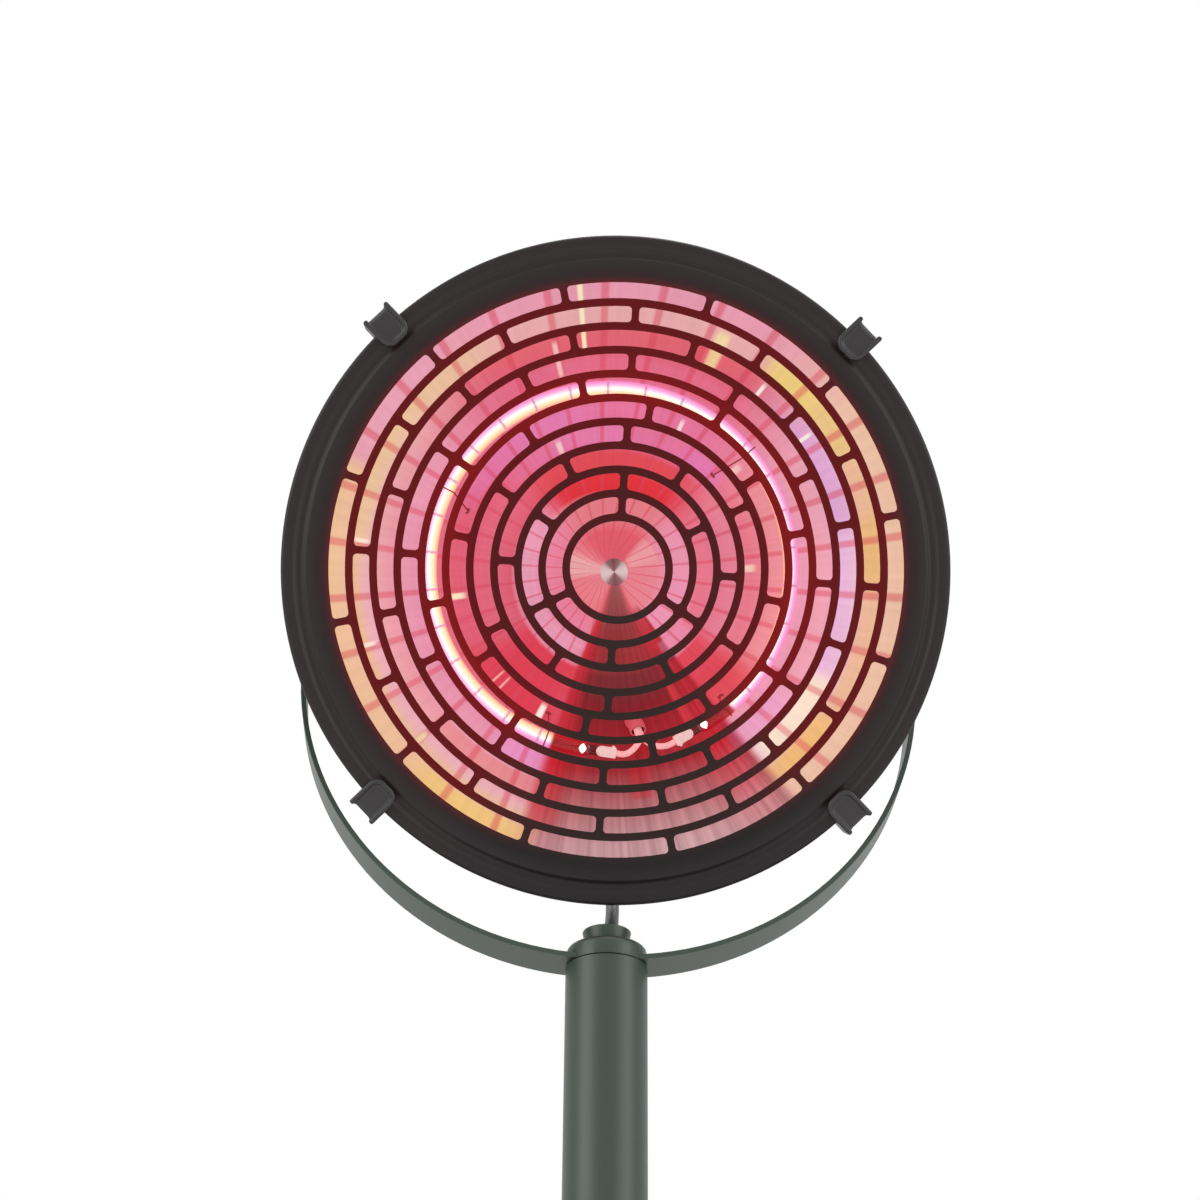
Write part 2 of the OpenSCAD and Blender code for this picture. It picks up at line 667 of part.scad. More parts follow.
// Rim clips
module tongue_outline(w, h, inset) {
  r = w / 2 - inset;
  translate([0, clip_in_r + w / 2, 0]) cylinder(r = r, h = h);
  translate([-r, clip_in_r + w / 2, 0]) cube([2 * r, clip_floor_r - clip_in_r - w / 2, h]);
}
module rim_clips() color(black_paint) head() for (i = [0 : 3]) clockwise(clip_turn + 90 * i) {
  // The tongue with its raised lip
  translate([0, 0, rim_front]) difference() {
    tongue_outline(clip_w, tongue_t + lip_h, 0);
    translate([0, 0, tongue_t]) tongue_outline(clip_w, lip_h + cut, lip_w);
    translate([-clip_w / 2 + lip_w, clip_floor_r - cut, tongue_t]) cube([clip_w - 2 * lip_w, 2 * cut, lip_h + cut]);
  }
  difference() {
    union() {
      // Ears, outer wall and the hook behind the flange
      for (s = [-1, 1])
        translate([s * (clip_w - lip_w) / 2 - lip_w / 2, rim_r + turn_gap, hook_top - hook_t])
          cube([lip_w, clip_out - turn_gap + ear_out, rim_front + tongue_t + lip_h - hook_top + hook_t]);
      translate([-clip_w / 2, clip_floor_r - clip_wall_t, hook_top - hook_t])
        cube([clip_w, clip_wall_t, rim_front + tongue_t - hook_top + hook_t]);
      translate([-clip_w / 2, bowl_r + clip_hook_in, hook_top - hook_t])
        cube([clip_w, clip_floor_r - bowl_r - clip_hook_in, hook_t]);
    }
    translate([0, clip_screw_y, hook_top - hook_t - cut])
      cylinder(r = clip_screw_r + thread_fit, h = hook_t + 2 * cut);
  }
}

module clip_screws() color(steel) head() for (i = [0 : 3]) clockwise(clip_turn + 90 * i)
  translate([0, clip_screw_y, hook_top - hook_t - turn_gap]) {
    cylinder(r = clip_screw_r, h = hook_t + 2 * turn_gap);
    translate([0, 0, -clip_head_h]) cylinder(r = clip_head_r, h = clip_head_h);
  }

// Lamp
module lamp_arc() translate([lamp_x, lamp_y, lamp_z]) rotate([0, 0, lamp_start])
  rotate_extrude(angle = lamp_sweep, $fn = 120) translate([lamp_r, 0]) children();

// Puts its children at both ends of the lamp, with y running on out of the tube
module lamp_ends() translate([lamp_x, lamp_y, lamp_z]) {
  rotate([0, 0, lamp_start + lamp_sweep]) translate([lamp_r, 0, 0]) children();
  rotate([0, 0, lamp_start]) translate([lamp_r, 0, 0]) mirror([0, 1, 0]) children();
}

module lamp_tube() color(quartz) head() {
  lamp_arc() difference() {
    circle(r = tube_r);
    circle(r = tube_r - quartz_t);
  }
  lamp_ends() {
    translate([0, -0.3, 0]) rotate([-90, 0, 0]) cylinder(r = tube_r - 0.3, h = 1.8);
    translate([-pinch_w / 2, 1, -pinch_t / 2]) cube([pinch_w, pinch_l, pinch_t]);
  }
}

module lamp_filament() color("#fff4e0") head() translate([lamp_x, lamp_y, lamp_z])
  rotate([0, 0, lamp_start + filament_short])
    rotate_extrude(angle = lamp_sweep - 2 * filament_short, $fn = 120)
      translate([lamp_r, 0]) circle(r = filament_r, $fn = 16);

module filament_supports() color(steel) head() translate([lamp_x, lamp_y, lamp_z])
  for (k = [0 : support_count - 1])
    rotate([0, 0, 90 - support_turn - support_pitch * k])
      translate([lamp_r, 0, 0]) rotate([90, 0, 0]) translate([0, 0, -0.3]) difference() {
        cylinder(r = tube_r - quartz_t - 0.1, h = 0.6);
        translate([0, 0, -cut]) cylinder(r = filament_r + 0.1, h = 0.6 + 2 * cut);
      }

module lamp_caps() color(ceramic) head() lamp_ends() difference() {
  translate([-cap_w / 2, 1 + pinch_l - pinch_in, -cap_w / 2]) cube([cap_w, cap_l, cap_w]);
  translate([-pinch_w / 2 - 0.1, pinch_l - pinch_in, -pinch_t / 2 - 0.1])
    cube([pinch_w + 0.2, pinch_in + 1.1, pinch_t + 0.2]);
}

module lamp_holders() color(steel) head() for (a = holder_turns)
  translate([lamp_x, lamp_y, 0]) clockwise(a) translate([0, lamp_r, lamp_z]) {
    ring_r = tube_r + holder_wire_r + 0.1;
    rotate([90, 0, 90]) rotate_extrude() translate([ring_r, 0]) circle(r = holder_wire_r, $fn = 16);
    translate([0, 0, valley_z - lamp_z]) cylinder(r = holder_wire_r, h = lamp_z - valley_z - ring_r);
  }

// Leads between the lamp and the terminal block
module lead_bushing() color(ceramic) head() difference() {
  translate([bushing_x, bushing_y, shield_z + 16]) cylinder(r = bushing_r, h = 24);
  for (s = [-1, 1])
    translate([bushing_x + s * lead_pair, bushing_y, shield_z + 16 - cut])
      cylinder(r = lamp_lead_r + loose_fit, h = 24 + 2 * cut);
}

// A point just past the cap at one end of the lamp, in the head's frame
cap_end = 1 + pinch_l - pinch_in + cap_l;
function lamp_end_point(a, s, more = 0) = [
  lamp_x + lamp_r * cos(a) - s * (cap_end + more) * sin(a),
  lamp_y + lamp_r * sin(a) + s * (cap_end + more) * cos(a),
  lamp_z
];
// From the bushing down to the terminal block, for the wire on side s
function down_route(s) = [
  [bushing_x + s * lead_pair, bushing_y - 0.9, 50.6], [bushing_x + s * lead_pair, bushing_y, 48],
  [bushing_x + s * lead_pair, bushing_y, 19],
  [bushing_x + s * lead_pair, bushing_y + 1, 8], [12 + s * lead_pair, bushing_y + 12, -3],
  [grommet_x + s * lead_pair, -64, -9], [grommet_x + s * lead_pair, -46, -11],
  [grommet_x + s * lead_pair, -37, -14], [grommet_x + s * lead_pair, grommet_y, back_z + 1],
  [grommet_x + s * lead_pair, grommet_y, floor_z - 4], [grommet_x + s * lead_pair, grommet_y + 6, floor_z - 7],
  [grommet_x + s * lead_pair, block_y - block_l / 2, floor_z - 7]
];
left_lead = concat(
  [lamp_end_point(lamp_start + lamp_sweep, 1), lamp_end_point(lamp_start + lamp_sweep, 1, 2)],
  [[9.8, -111.8, 55], [12.8, -110.8, 54.8], [15.8, -108.2, 54.3], [17.2, -104.6, 53.6], [17, -101.2, 53.1], [16.3, -98.3, 52.3]],
  down_route(-1)
);
right_lead = concat(
  [lamp_end_point(lamp_start, -1), lamp_end_point(lamp_start, -1, 2)],
  [[36.4, -105.6, 55], [32.2, -106.2, 54.9], [28, -105.2, 54.5], [24.2, -102.9, 53.8], [21.8, -100, 52.9], [20.8, -98, 52]],
  down_route(1)
);
module lamp_leads() color("#f0c9c4") head() {
  tube_along(left_lead, lamp_lead_r, 8, [0, 0, 1]);
  tube_along(right_lead, lamp_lead_r, 8, [0, 0, 1]);
}

// Heat shield behind the reflector
module heat_shield() color(steel) head() difference() {
  translate([0, 0, shield_z]) cylinder(r = shield_r, h = shield_t);
  translate([bushing_x, bushing_y + 1, shield_z - cut]) cylinder(r = 11, h = shield_t + 2 * cut);
  for (a = [45 : 90 : 315])
    rotate([0, 0, a]) translate([shield_circle, 0, shield_z - cut])
      cylinder(r = shield_screw_r + thread_fit, h = shield_t + 2 * cut);
}

module shield_posts() color(steel) head() for (a = [45 : 90 : 315])
  rotate([0, 0, a]) translate([shield_circle, 0, back_z + shell_t]) difference() {
    cylinder(r = 4, h = shield_z - back_z - shell_t);
    translate([0, 0, -cut]) cylinder(r = shield_screw_r + thread_fit, h = shield_z - back_z + 2 * cut);
  }

module shield_screws() color(steel) head() for (a = [45 : 90 : 315])
  rotate([0, 0, a]) translate([shield_circle, 0, back_z]) {
    rotate([180, 0, 0]) screw(shield_screw_r, shield_z + shield_t - back_z, 3.6, 2.4);
    translate([0, 0, shield_z + shield_t - back_z]) cylinder(r = 4, h = 3);
  }

module thermal_cutout() color("#d9d5cf") head() translate([-60, 20, shield_z]) {
  translate([0, 0, -7]) cylinder(r = 8, h = 7);
  for (s = [-1, 1]) translate([s * 4 - 3, -0.4, -14]) cube([6, 0.8, 7.5]);
}

// Tilt bracket and clamps
module cross_bracket() color(black_paint) head() difference() {
  union() {
    translate([-bracket_out + bracket_corner, -bracket_w / 2, floor_z])
      cube([2 * (bracket_out - bracket_corner), bracket_w, bracket_t]);
    for (s = [-1, 1]) {
      translate([s * (bracket_out - bracket_corner), 0, floor_z + bracket_corner]) rotate([90, 0, 0])
        intersection() {
          translate([0, 0, -bracket_w / 2]) difference() {
            cylinder(r = bracket_corner, h = bracket_w);
            translate([0, 0, -cut]) cylinder(r = bracket_corner - bracket_t, h = bracket_w + 2 * cut);
          }
          translate([s > 0 ? 0 : -2 * bracket_corner, -2 * bracket_corner, -bracket_w])
            cube([2 * bracket_corner, 2 * bracket_corner, 2 * bracket_w]);
        }
      translate([s * (bracket_out - bracket_t / 2) - bracket_t / 2, -bracket_w / 2, floor_z + bracket_corner])
        cube([bracket_t, bracket_w, -floor_z - bracket_corner]);
      translate([s * (bracket_out - bracket_t / 2) - bracket_t / 2, 0, 0])
        rotate([0, 90, 0]) cylinder(r = bracket_w / 2, h = bracket_t);
    }
  }
  along_x(-bracket_out - cut, stud_r + thread_fit, 2 * (bracket_out + cut));
  for (x = [-1, 1], y = [-1, 1])
    translate([x * bracket_screw_x, y * bracket_screw_y, floor_z - cut])
      cylinder(r = bracket_screw_r + thread_fit, h = bracket_t + 2 * cut);
  for (x = [-1, 1])
    translate([x * box_screw_x, 0, floor_z - cut]) cylinder(r = 2 + thread_fit, h = bracket_t + 2 * cut);
}

module bracket_screws() color(steel) head() for (x = [-1, 1], y = [-1, 1])
  translate([x * bracket_screw_x, y * bracket_screw_y, 0]) {
    translate([0, 0, floor_z]) rotate([180, 0, 0])
      screw(bracket_screw_r, bracket_t + shell_t + 6, 4.6, 3);
    translate([0, 0, back_z + shell_t]) cylinder(r = 4.6, h = 4);
  }

module tilt_studs() color(steel) head() for (s = [0, 1]) mirror([s, 0, 0]) {
  along_x(bracket_in, stud_r, knob_start + knob_bore_h - 1 - bracket_in);
  along_x(bracket_in - stud_head_h, 7.5, stud_head_h);
}

module tilt_washers() color("#8f8a80") head() for (s = [0, 1]) mirror([s, 0, 0]) difference() {
  along_x(bracket_out, washer_r, washer_t);
  along_x(bracket_out - cut, stud_r + thread_fit, washer_t + 2 * cut);
}

module knob() difference() {
  neck = 2;
  union() {
    along_x(knob_start, knob_hub_r, neck);
    along_x(knob_start + neck, knob_r - lobe_r, knob_h - neck - 2);
    along_x(knob_start + knob_h - 2, knob_r - lobe_r - 2, 2);
    for (a = [0 : 60 : 300]) rotate([a, 0, 0]) translate([0, knob_r - lobe_r, 0])
      along_x(knob_start + neck, lobe_r, knob_h - neck - 2);
  }
  along_x(knob_start - cut, stud_r + running_fit, knob_bore_h + cut);
}
module right_knob() color(rubber) head() knob();
module left_knob() color(rubber) head() mirror([1, 0, 0]) knob();

// Terminal box
module terminal_box() color(black_paint) head() difference() {
  inner_w = box_w - 2 * box_t;
  inner_h = box_h - 2 * box_t;
  union() {
    difference() {
      translate([0, 0, box_top]) round_plate(box_w, box_h, box_d, 6);
      translate([0, 0, box_top - cut]) round_plate(inner_w, inner_h, floor_z - floor_t - box_top + cut, 4);
      translate([0, 0, floor_z]) round_plate(inner_w, inner_h, bracket_t + cut, 4);
    }
    for (x = [-1, 1], y = [-1, 1])
      translate([x * (box_w / 2 - cover_screw_in), y * (box_h / 2 - cover_screw_in), box_top])
        cylinder(r = boss_r, h = floor_z - box_top);
  }
  translate([-box_w / 2 - cut, -bracket_w / 2 - turn_gap, floor_z])
    cube([box_w + 2 * cut, bracket_w + 2 * turn_gap, bracket_t + cut]);
  for (x = [-1, 1], y = [-1, 1])
    translate([x * (box_w / 2 - cover_screw_in), y * (box_h / 2 - cover_screw_in), box_top - cut])
      cylinder(r = cover_screw_r + thread_fit, h = 17 + cut);
  for (x = [-1, 1])
    translate([x * box_screw_x, 0, floor_z - floor_t - cut]) cylinder(r = 2 + thread_fit, h = floor_t + 2 * cut);
  translate([grommet_x, grommet_y, floor_z - floor_t - cut])
    cylinder(r = grommet_r + loose_fit, h = floor_t + 2 * cut);
  translate([0, -box_h / 2 + box_t + cut, gland_z]) rotate([90, 0, 0])
    cylinder(r = 6 + loose_fit, h = box_t + 2 * cut);
}

module box_screws() color(steel) head() for (x = [-1, 1])
  translate([x * box_screw_x, 0, floor_z - floor_t]) rotate([180, 0, 0]) screw(2, floor_t + bracket_t - 0.5, 3.6, 2.4);

module wire_grommet() color(rubber) head() translate([grommet_x, grommet_y, 0]) rotate_extrude()
  polygon([
    [4.5, floor_z - floor_t - 1], [grommet_r, floor_z - floor_t - 1], [grommet_r, floor_z + 0.1],
    [grommet_flange_r, floor_z + 0.1], [grommet_flange_r, back_z - 0.1], [grommet_r, back_z - 0.1], [grommet_r, back_z + shell_t + 1],
    [4.5, back_z + shell_t + 1]
  ]);

module terminal_block() color(ceramic) head() difference() {
  translate([-block_w / 2, block_y - block_l / 2, floor_z - floor_t - block_h]) cube([block_w, block_l, block_h]);
  for (x = [-12, 0, 12])
    translate([x, block_y, floor_z - floor_t - block_h - cut]) cylinder(r = 2.5, h = 5 + cut);
}

module tip_switch() color("#3a3a3c") head()
  translate([tip_switch_x, 16, floor_z - floor_t - 16]) {
    cube([18, 14, 16]);
    translate([3, 3, -5]) cube([0.8, 8, 5]);
    translate([14, 3, -5]) cube([0.8, 8, 5]);
  }

module cover_gasket() color("#6d6a66") head() translate([0, 0, cover_z]) difference() {
  round_plate(box_w, box_h, box_top - cover_z, 6);
  translate([0, 0, -cut]) round_plate(box_w - 2 * box_t, box_h - 2 * box_t, box_top - cover_z + 2 * cut, 4);
}

module rear_cover() color(black_paint) head() difference() {
  translate([0, 0, cover_back]) round_plate(box_w + 2, box_h + 2, cover_t, 7);
  translate([switch_x - switch_w / 2 - loose_fit, switch_y - switch_h / 2 - loose_fit, cover_back - cut])
    cube([switch_w + 2 * loose_fit, switch_h + 2 * loose_fit, cover_t + 2 * cut]);
  for (x = [-1, 1], y = [-1, 1])
    translate([x * (box_w / 2 - cover_screw_in), y * (box_h / 2 - cover_screw_in), cover_back - cut])
      cylinder(r = cover_screw_r + thread_fit, h = cover_t + 2 * cut);
}

module cover_screws() color(steel) head() for (x = [-1, 1], y = [-1, 1])
  translate([x * (box_w / 2 - cover_screw_in), y * (box_h / 2 - cover_screw_in), cover_back])
    rotate([180, 0, 0]) screw(cover_screw_r, 16, 3.4, 2);

module switch_body() color(rubber) head() translate([switch_x, switch_y, 0]) difference() {
  union() {
    translate([0, 0, cover_back - 1.8]) round_plate(switch_w + 4, switch_h + 4, 1.8, 2);
    translate([-switch_w / 2, -switch_h / 2, cover_back]) cube([switch_w, switch_h, 20]);
  }
  translate([-pocket_w / 2, -pocket_h / 2, cover_back - 1.8 - cut]) cube([pocket_w, pocket_h, 10 + cut]);
  translate([0, 0, rocker_z]) along_x(-pocket_w / 2 - 2, rocker_pin_r + 0.05, pocket_w + 4);
}

module rocker() color("#1f1f20") head() translate([switch_x, switch_y, rocker_z]) rotate([-rocker_angle, 0, 0])
  difference() {
    translate([-pocket_w / 2 + turn_gap, 0, 0]) rotate([90, 0, 90])
      linear_extrude(pocket_w - 2 * turn_gap)
        polygon([[-8, 4], [8, 4], [10.4, 0], [10.4, -4.2], [0, -2.4], [-10.4, -4.2], [-10.4, 0]]);
    along_x(-pocket_w, rocker_pin_r + running_fit, 2 * pocket_w);
  }

module rocker_pin() color(steel) head() translate([switch_x, switch_y, rocker_z])
  along_x(-pocket_w / 2 - 1.8, rocker_pin_r, pocket_w + 3.6);

// Cable gland, boot and cores on the supply side
module cable_gland() color(rubber) head() translate([0, -box_h / 2, gland_z]) rotate([90, 0, 0]) difference() {
  union() {
    translate([0, 0, -box_t - 3]) cylinder(r = 6, h = box_t + 4);
    cylinder(r = gland_hex_r, h = 5, $fn = 6);
    translate([0, 0, 5]) rotate_extrude() polygon([[0, 0], [8.2, 0], [8, 6], [6.6, 10], [0, 10]]);
  }
  translate([0, 0, -20]) cylinder(r = boot_stem_r + thread_fit, h = 50);
}

module lead_boot() color(rubber) head() translate([0, -box_h / 2, gland_z]) rotate([90, 0, 0]) rotate_extrude()
  polygon(concat(
    [[0, -box_t - 2], [boot_stem_r, -box_t - 2], [boot_stem_r, boot_start], [6.3, boot_start], [6.3, boot_start + 3]],
    [
      for (i = [0 : 5], k = [0, 1])
        [6.3 - (6.3 - boot_end_r) * (i + 1) / 6 - (k == 0 ? 0.9 : 0), boot_start + 3 + 3.6 * i + (k == 0 ? 1 : 2.4)]
    ],
    [[boot_end_r, boot_start + boot_h], [0, boot_start + boot_h]]
  ));

module supply_cores() color("#a06a3c") head() for (x = [-1, 0, 1]) {
  y = -box_h / 2 + box_t + 2;
  tube_along([
    [x * 2.8, y, gland_z], [x * 2.8, y + 3, gland_z], [x * 3.6, y + 6, gland_z], [x * 6.5, y + 11, gland_z + 1],
    [x * 10, y + 16, gland_z + 3.5], [x * 12, y + 19, gland_z + 5], [x * 12, block_y - block_l / 2, gland_z + 5]
  ], 1.1, 6);
}

base_plate();
base_feet();
post_collar();
collar_screws();
lower_post();
upper_post();
post_joint();
post_screws();
lead_gland();
post_lead();
swivel_plug();
swivel_washer();
yoke();
swivel_cap();
cable_funnel();
swivel_nut();
supply_lead();
head_housing();
front_grille();
rim_clips();
clip_screws();
rim_gasket();
reflector();
lamp_tube();
lamp_filament();
filament_supports();
lamp_caps();
lamp_holders();
lead_bushing();
lamp_leads();
heat_shield();
shield_posts();
shield_screws();
thermal_cutout();
cross_bracket();
bracket_screws();
tilt_studs();
tilt_washers();
left_knob();
right_knob();
terminal_box();
box_screws();
wire_grommet();
terminal_block();
tip_switch();
cover_gasket();
rear_cover();
cover_screws();
switch_body();
rocker();
rocker_pin();
cable_gland();
lead_boot();
supply_cores();
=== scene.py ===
"""Free-standing electric patio heater: a round halogen head in a U-shaped yoke on a tubular post."""

import logging
import math
from collections.abc import Sequence
from dataclasses import dataclass
from enum import Enum

import bmesh
import bpy
from mathutils import Matrix, Vector


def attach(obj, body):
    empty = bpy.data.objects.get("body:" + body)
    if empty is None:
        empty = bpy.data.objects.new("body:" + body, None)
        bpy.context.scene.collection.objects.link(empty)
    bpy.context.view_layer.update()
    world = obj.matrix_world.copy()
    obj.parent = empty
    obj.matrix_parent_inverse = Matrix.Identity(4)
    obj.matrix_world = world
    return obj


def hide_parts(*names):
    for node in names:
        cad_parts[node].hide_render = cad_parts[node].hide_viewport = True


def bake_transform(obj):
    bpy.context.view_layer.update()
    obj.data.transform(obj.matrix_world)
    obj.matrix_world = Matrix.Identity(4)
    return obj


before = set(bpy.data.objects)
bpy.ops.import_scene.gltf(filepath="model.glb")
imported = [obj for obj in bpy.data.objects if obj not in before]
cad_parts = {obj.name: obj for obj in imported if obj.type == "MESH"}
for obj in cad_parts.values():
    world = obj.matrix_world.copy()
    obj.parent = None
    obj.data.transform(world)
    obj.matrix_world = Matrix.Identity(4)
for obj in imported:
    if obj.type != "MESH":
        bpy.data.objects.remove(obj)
log = logging.getLogger("patio_heater")

MM = 0.001
POST_TOP = 1660.0
PIVOT_Z = 1928.2
HEAD_TILT = 28.7
HEAD = Matrix.Translation((0, 0, PIVOT_Z * MM)) @ Matrix.Rotation(math.radians(90 + HEAD_TILT), 4, "X")
SEAM = Matrix.Translation((0, 0, POST_TOP * MM))
UP = Vector((0, 0, 1))

# The lamp's arc in the head's frame: sizes in mm, and angles in degrees clockwise from the top
LAMP_X = -2.0
LAMP_Y = 2.3
LAMP_RING = 112.0
LAMP_BORE = 5.0
LAMP_GAP = 167.0
COLD_HALF = 30.2
FIRST_RING_TURN = 201.4
RING_PITCH = 12.0

Point = tuple[float, float, float]
Profile = list[tuple[float, float]]
Piece = bpy.types.Object
Socket = bpy.types.NodeSocket
Value = float | Socket


class Body(Enum):
    """The rigid bodies that a piece can ride on."""

    POST = "post"
    YOKE = "yoke"
    HEAD = "head"
    LEFT_KNOB = "left_knob"
    RIGHT_KNOB = "right_knob"
    ROCKER = "rocker"


def linear(hex_colour: str) -> tuple[float, float, float, float]:
    """Turns an sRGB hex colour into linear values.

    Args:
        hex_colour: A colour such as "#A0B1C2".

    Returns:
        Red, green, blue and an alpha of 1.
    """
    values = [int(hex_colour[i : i + 2], 16) / 255 for i in (1, 3, 5)]
    return (*(v / 12.92 if v <= 0.04045 else ((v + 0.055) / 1.055) ** 2.4 for v in values), 1.0)


def add(tree: bpy.types.NodeTree, kind: str, inputs: dict | None = None, **settings) -> bpy.types.Node:
    """Adds a node, sets its properties, and fills or links its inputs.

    Args:
        tree: The node tree to add to.
        kind: The node's type name.
        inputs: Values or sockets by input name or index.
        **settings: Properties of the node.

    Returns:
        The new node.
    """
    node = tree.nodes.new(kind)
    for name, value in settings.items():
        setattr(node, name, value)
    for key, value in (inputs or {}).items():
        if isinstance(value, Socket):
            tree.links.new(value, node.inputs[key])
        else:
            node.inputs[key].default_value = value
    return node


class Shader:
    """A material's node tree, with short ways to write sums on its sockets."""

    def __init__(self, name: str) -> None:
        """Makes an empty material.

        Args:
            name: The material's name.
        """
        self.material = bpy.data.materials.new(name)
        self.material.use_nodes = True
        self.tree = self.material.node_tree
        self.tree.nodes.clear()

    def math(self, operation: str, *values: Value) -> Socket:
        """Adds a sum of one kind over values or sockets."""
        return add(self.tree, "ShaderNodeMath", dict(enumerate(values)), operation=operation).outputs[0]

    def step(self, value: Socket, start: float, end: float) -> Socket:
        """Turns a value smoothly from 0 at start to 1 at end."""
        inputs = {"Value": value, "From Min": start, "From Max": end}
        return add(self.tree, "ShaderNodeMapRange", inputs, interpolation_type="SMOOTHSTEP").outputs[0]

    def ramp(self, value: Socket, stops: list[tuple[float, str]]) -> Socket:
        """Colours a value between 0 and 1.

        Args:
            value: The value.
            stops: Places on the way from 0 to 1, each with its hex colour.

        Returns:
            The colour.
        """
        node = add(self.tree, "ShaderNodeValToRGB", {0: value})
        elements = node.color_ramp.elements
        while len(elements) < len(stops):
            elements.new(0.5)
        for element, (place, colour) in zip(elements, stops):
            element.position = place
            element.color = linear(colour)
        return node.outputs[0]

    def mix(self, share: Value, one: Socket | tuple, other: Socket | tuple, blend: str = "MIX") -> Socket:
        """Mixes two colours, with the share of the other one."""
        inputs = {0: share, 6: one, 7: other}
        return add(self.tree, "ShaderNodeMix", inputs, data_type="RGBA", blend_type=blend).outputs[2]

    def place(self) -> Socket:
        """Gives the place on the piece, in metres in the row frame."""
        return add(self.tree, "ShaderNodeTexCoord").outputs["Object"]

    def head_place(self, x: float = 0, y: float = 0) -> Socket:
        """Gives the place in the head's frame, in metres.

        Args:
            x: How far right of the head's axis the measure starts, in mm.
            y: How far above it.

        Returns:
            The place.
        """
        centre = HEAD @ Vector((x * MM, y * MM, 0))
        turn = (math.radians(90 + HEAD_TILT), 0, 0)
        inputs = {"Vector": self.place(), "Location": centre, "Rotation": turn}
        return add(self.tree, "ShaderNodeMapping", inputs, vector_type="TEXTURE").outputs[0]

    def vector(self, operation: str, result: str, *values: Socket | tuple) -> Socket:
        """Adds a vector sum of one kind and gives the named result."""
        node = add(self.tree, "ShaderNodeVectorMath", dict(enumerate(values)), operation=operation)
        return node.outputs[result]

    def flat(self, place: Socket) -> Socket:
        """Drops a place onto the head's face."""
        return self.vector("MULTIPLY", "Vector", place, (1, 1, 0))

    def length(self, vector: Socket) -> Socket:
        """Gives a vector's length."""
        return self.vector("LENGTH", "Value", vector)

    def unit(self, vector: Socket) -> Socket:
        """Gives a vector's direction, with a length of 1."""
        return self.vector("NORMALIZE", "Vector", vector)

    def depth(self) -> Socket:
        """Gives how far forward in the head a place is, in metres."""
        return add(self.tree, "ShaderNodeSeparateXYZ", {0: self.head_place()}).outputs[2]

    def toward(self, flat: Socket, clockwise: float) -> Socket:
        """Compares the direction of a place on the face with another one.

        Args:
            flat: The place on the face.
            clockwise: The other direction, in degrees from the top.

        Returns:
            The cosine of the angle between the two.
        """
        a = math.radians(clockwise)
        return self.vector("DOT_PRODUCT", "Value", self.unit(flat), (math.sin(a), math.cos(a), 0))

    def sector(self, flat: Socket, clockwise: float, half: float, soft: float) -> Socket:
        """Masks a sector of the face by its middle, half width and soft edge in degrees."""
        cosine = self.toward(flat, clockwise)
        return self.step(cosine, math.cos(math.radians(half + soft)), math.cos(math.radians(half - soft)))

    def spokes(self, flat: Socket, clockwise: float, pitch: float, core: float, edge: float) -> Socket:
        """Masks narrow spokes that stand round a centre, one of them at the clockwise angle.

        Args:
            flat: The place on the face, measured from the centre.
            clockwise: The angle of one spoke from the top, in degrees.
            pitch: The angle between two spokes, in degrees.
            core: The spoke's full part on each side, as a share of the pitch.
            edge: Where it has faded away, as a share of the pitch.

        Returns:
            1 on a spoke and 0 between two.
        """
        parts = add(self.tree, "ShaderNodeSeparateXYZ", {0: flat}).outputs
        angle = self.math("ARCTAN2", parts[1], parts[0])
        turn = self.math("SUBTRACT", angle, math.radians(90 - clockwise))
        near = self.math("PINGPONG", self.math("DIVIDE", turn, math.radians(pitch)), 0.5)
        return self.math("SUBTRACT", 1.0, self.step(near, core, edge))

    def noise(self, vector: Socket, scale: float, detail: float = 2) -> Socket:
        """Adds a noise pattern whose features are about 1/scale metres wide."""
        inputs = {"Vector": vector, "Scale": scale, "Detail": detail}
        return add(self.tree, "ShaderNodeTexNoise", inputs).outputs[0]

    def bump(self, height: Socket, strength: float, distance: float) -> Socket:
        """Turns a height into a bumped normal."""
        inputs = {"Height": height, "Strength": strength, "Distance": distance}
        return add(self.tree, "ShaderNodeBump", inputs).outputs[0]

    def finish(self, inputs: dict) -> bpy.types.Material:
        """Ends the tree in a Principled BSDF.

        Args:
            inputs: The shader's values or sockets by name.

        Returns:
            The finished material.
        """
        surface = add(self.tree, "ShaderNodeBsdfPrincipled", inputs).outputs[0]
        add(self.tree, "ShaderNodeOutputMaterial", {"Surface": surface})
        return self.material


@dataclass(frozen=True)
class Finish:
    """A finish: the material's name, its colour and how it takes light."""

    name: str
    colour: str
    roughness: float = 0.5

    def material(self) -> bpy.types.Material:
        """Gives the material, built on first use."""
        return bpy.data.materials.get(self.name) or self.build()

    def build(self) -> bpy.types.Material:
        """Builds a plain material of one colour."""
        return Shader(self.name).finish({"Base Color": linear(self.colour), "Roughness": self.roughness})


@dataclass(frozen=True)
class PowderCoat(Finish):
    """Powder-coated steel: an even satin colour with a faint orange peel that breaks up the highlights."""

    gloss: float = 0.3
    peel: float = 0.06

    def surface(self, shader: Shader) -> dict:
        """Gives the inputs that every powder coat has.

        Args:
            shader: The material being built.

        Returns:
            The shader's inputs by name.
        """
        # The real peel is about 1 mm wide and is drawn at 2 mm, so that it shows.
        grain = shader.noise(shader.place(), 500)
        return {
            "Base Color": linear(self.colour),
            "Roughness": self.roughness,
            "Specular IOR Level": self.gloss,
            "Normal": shader.bump(grain, self.peel, 0.0004),
        }

    def build(self) -> bpy.types.Material:
        """Builds the coat."""
        shader = Shader(self.name)
        return shader.finish(self.surface(shader))


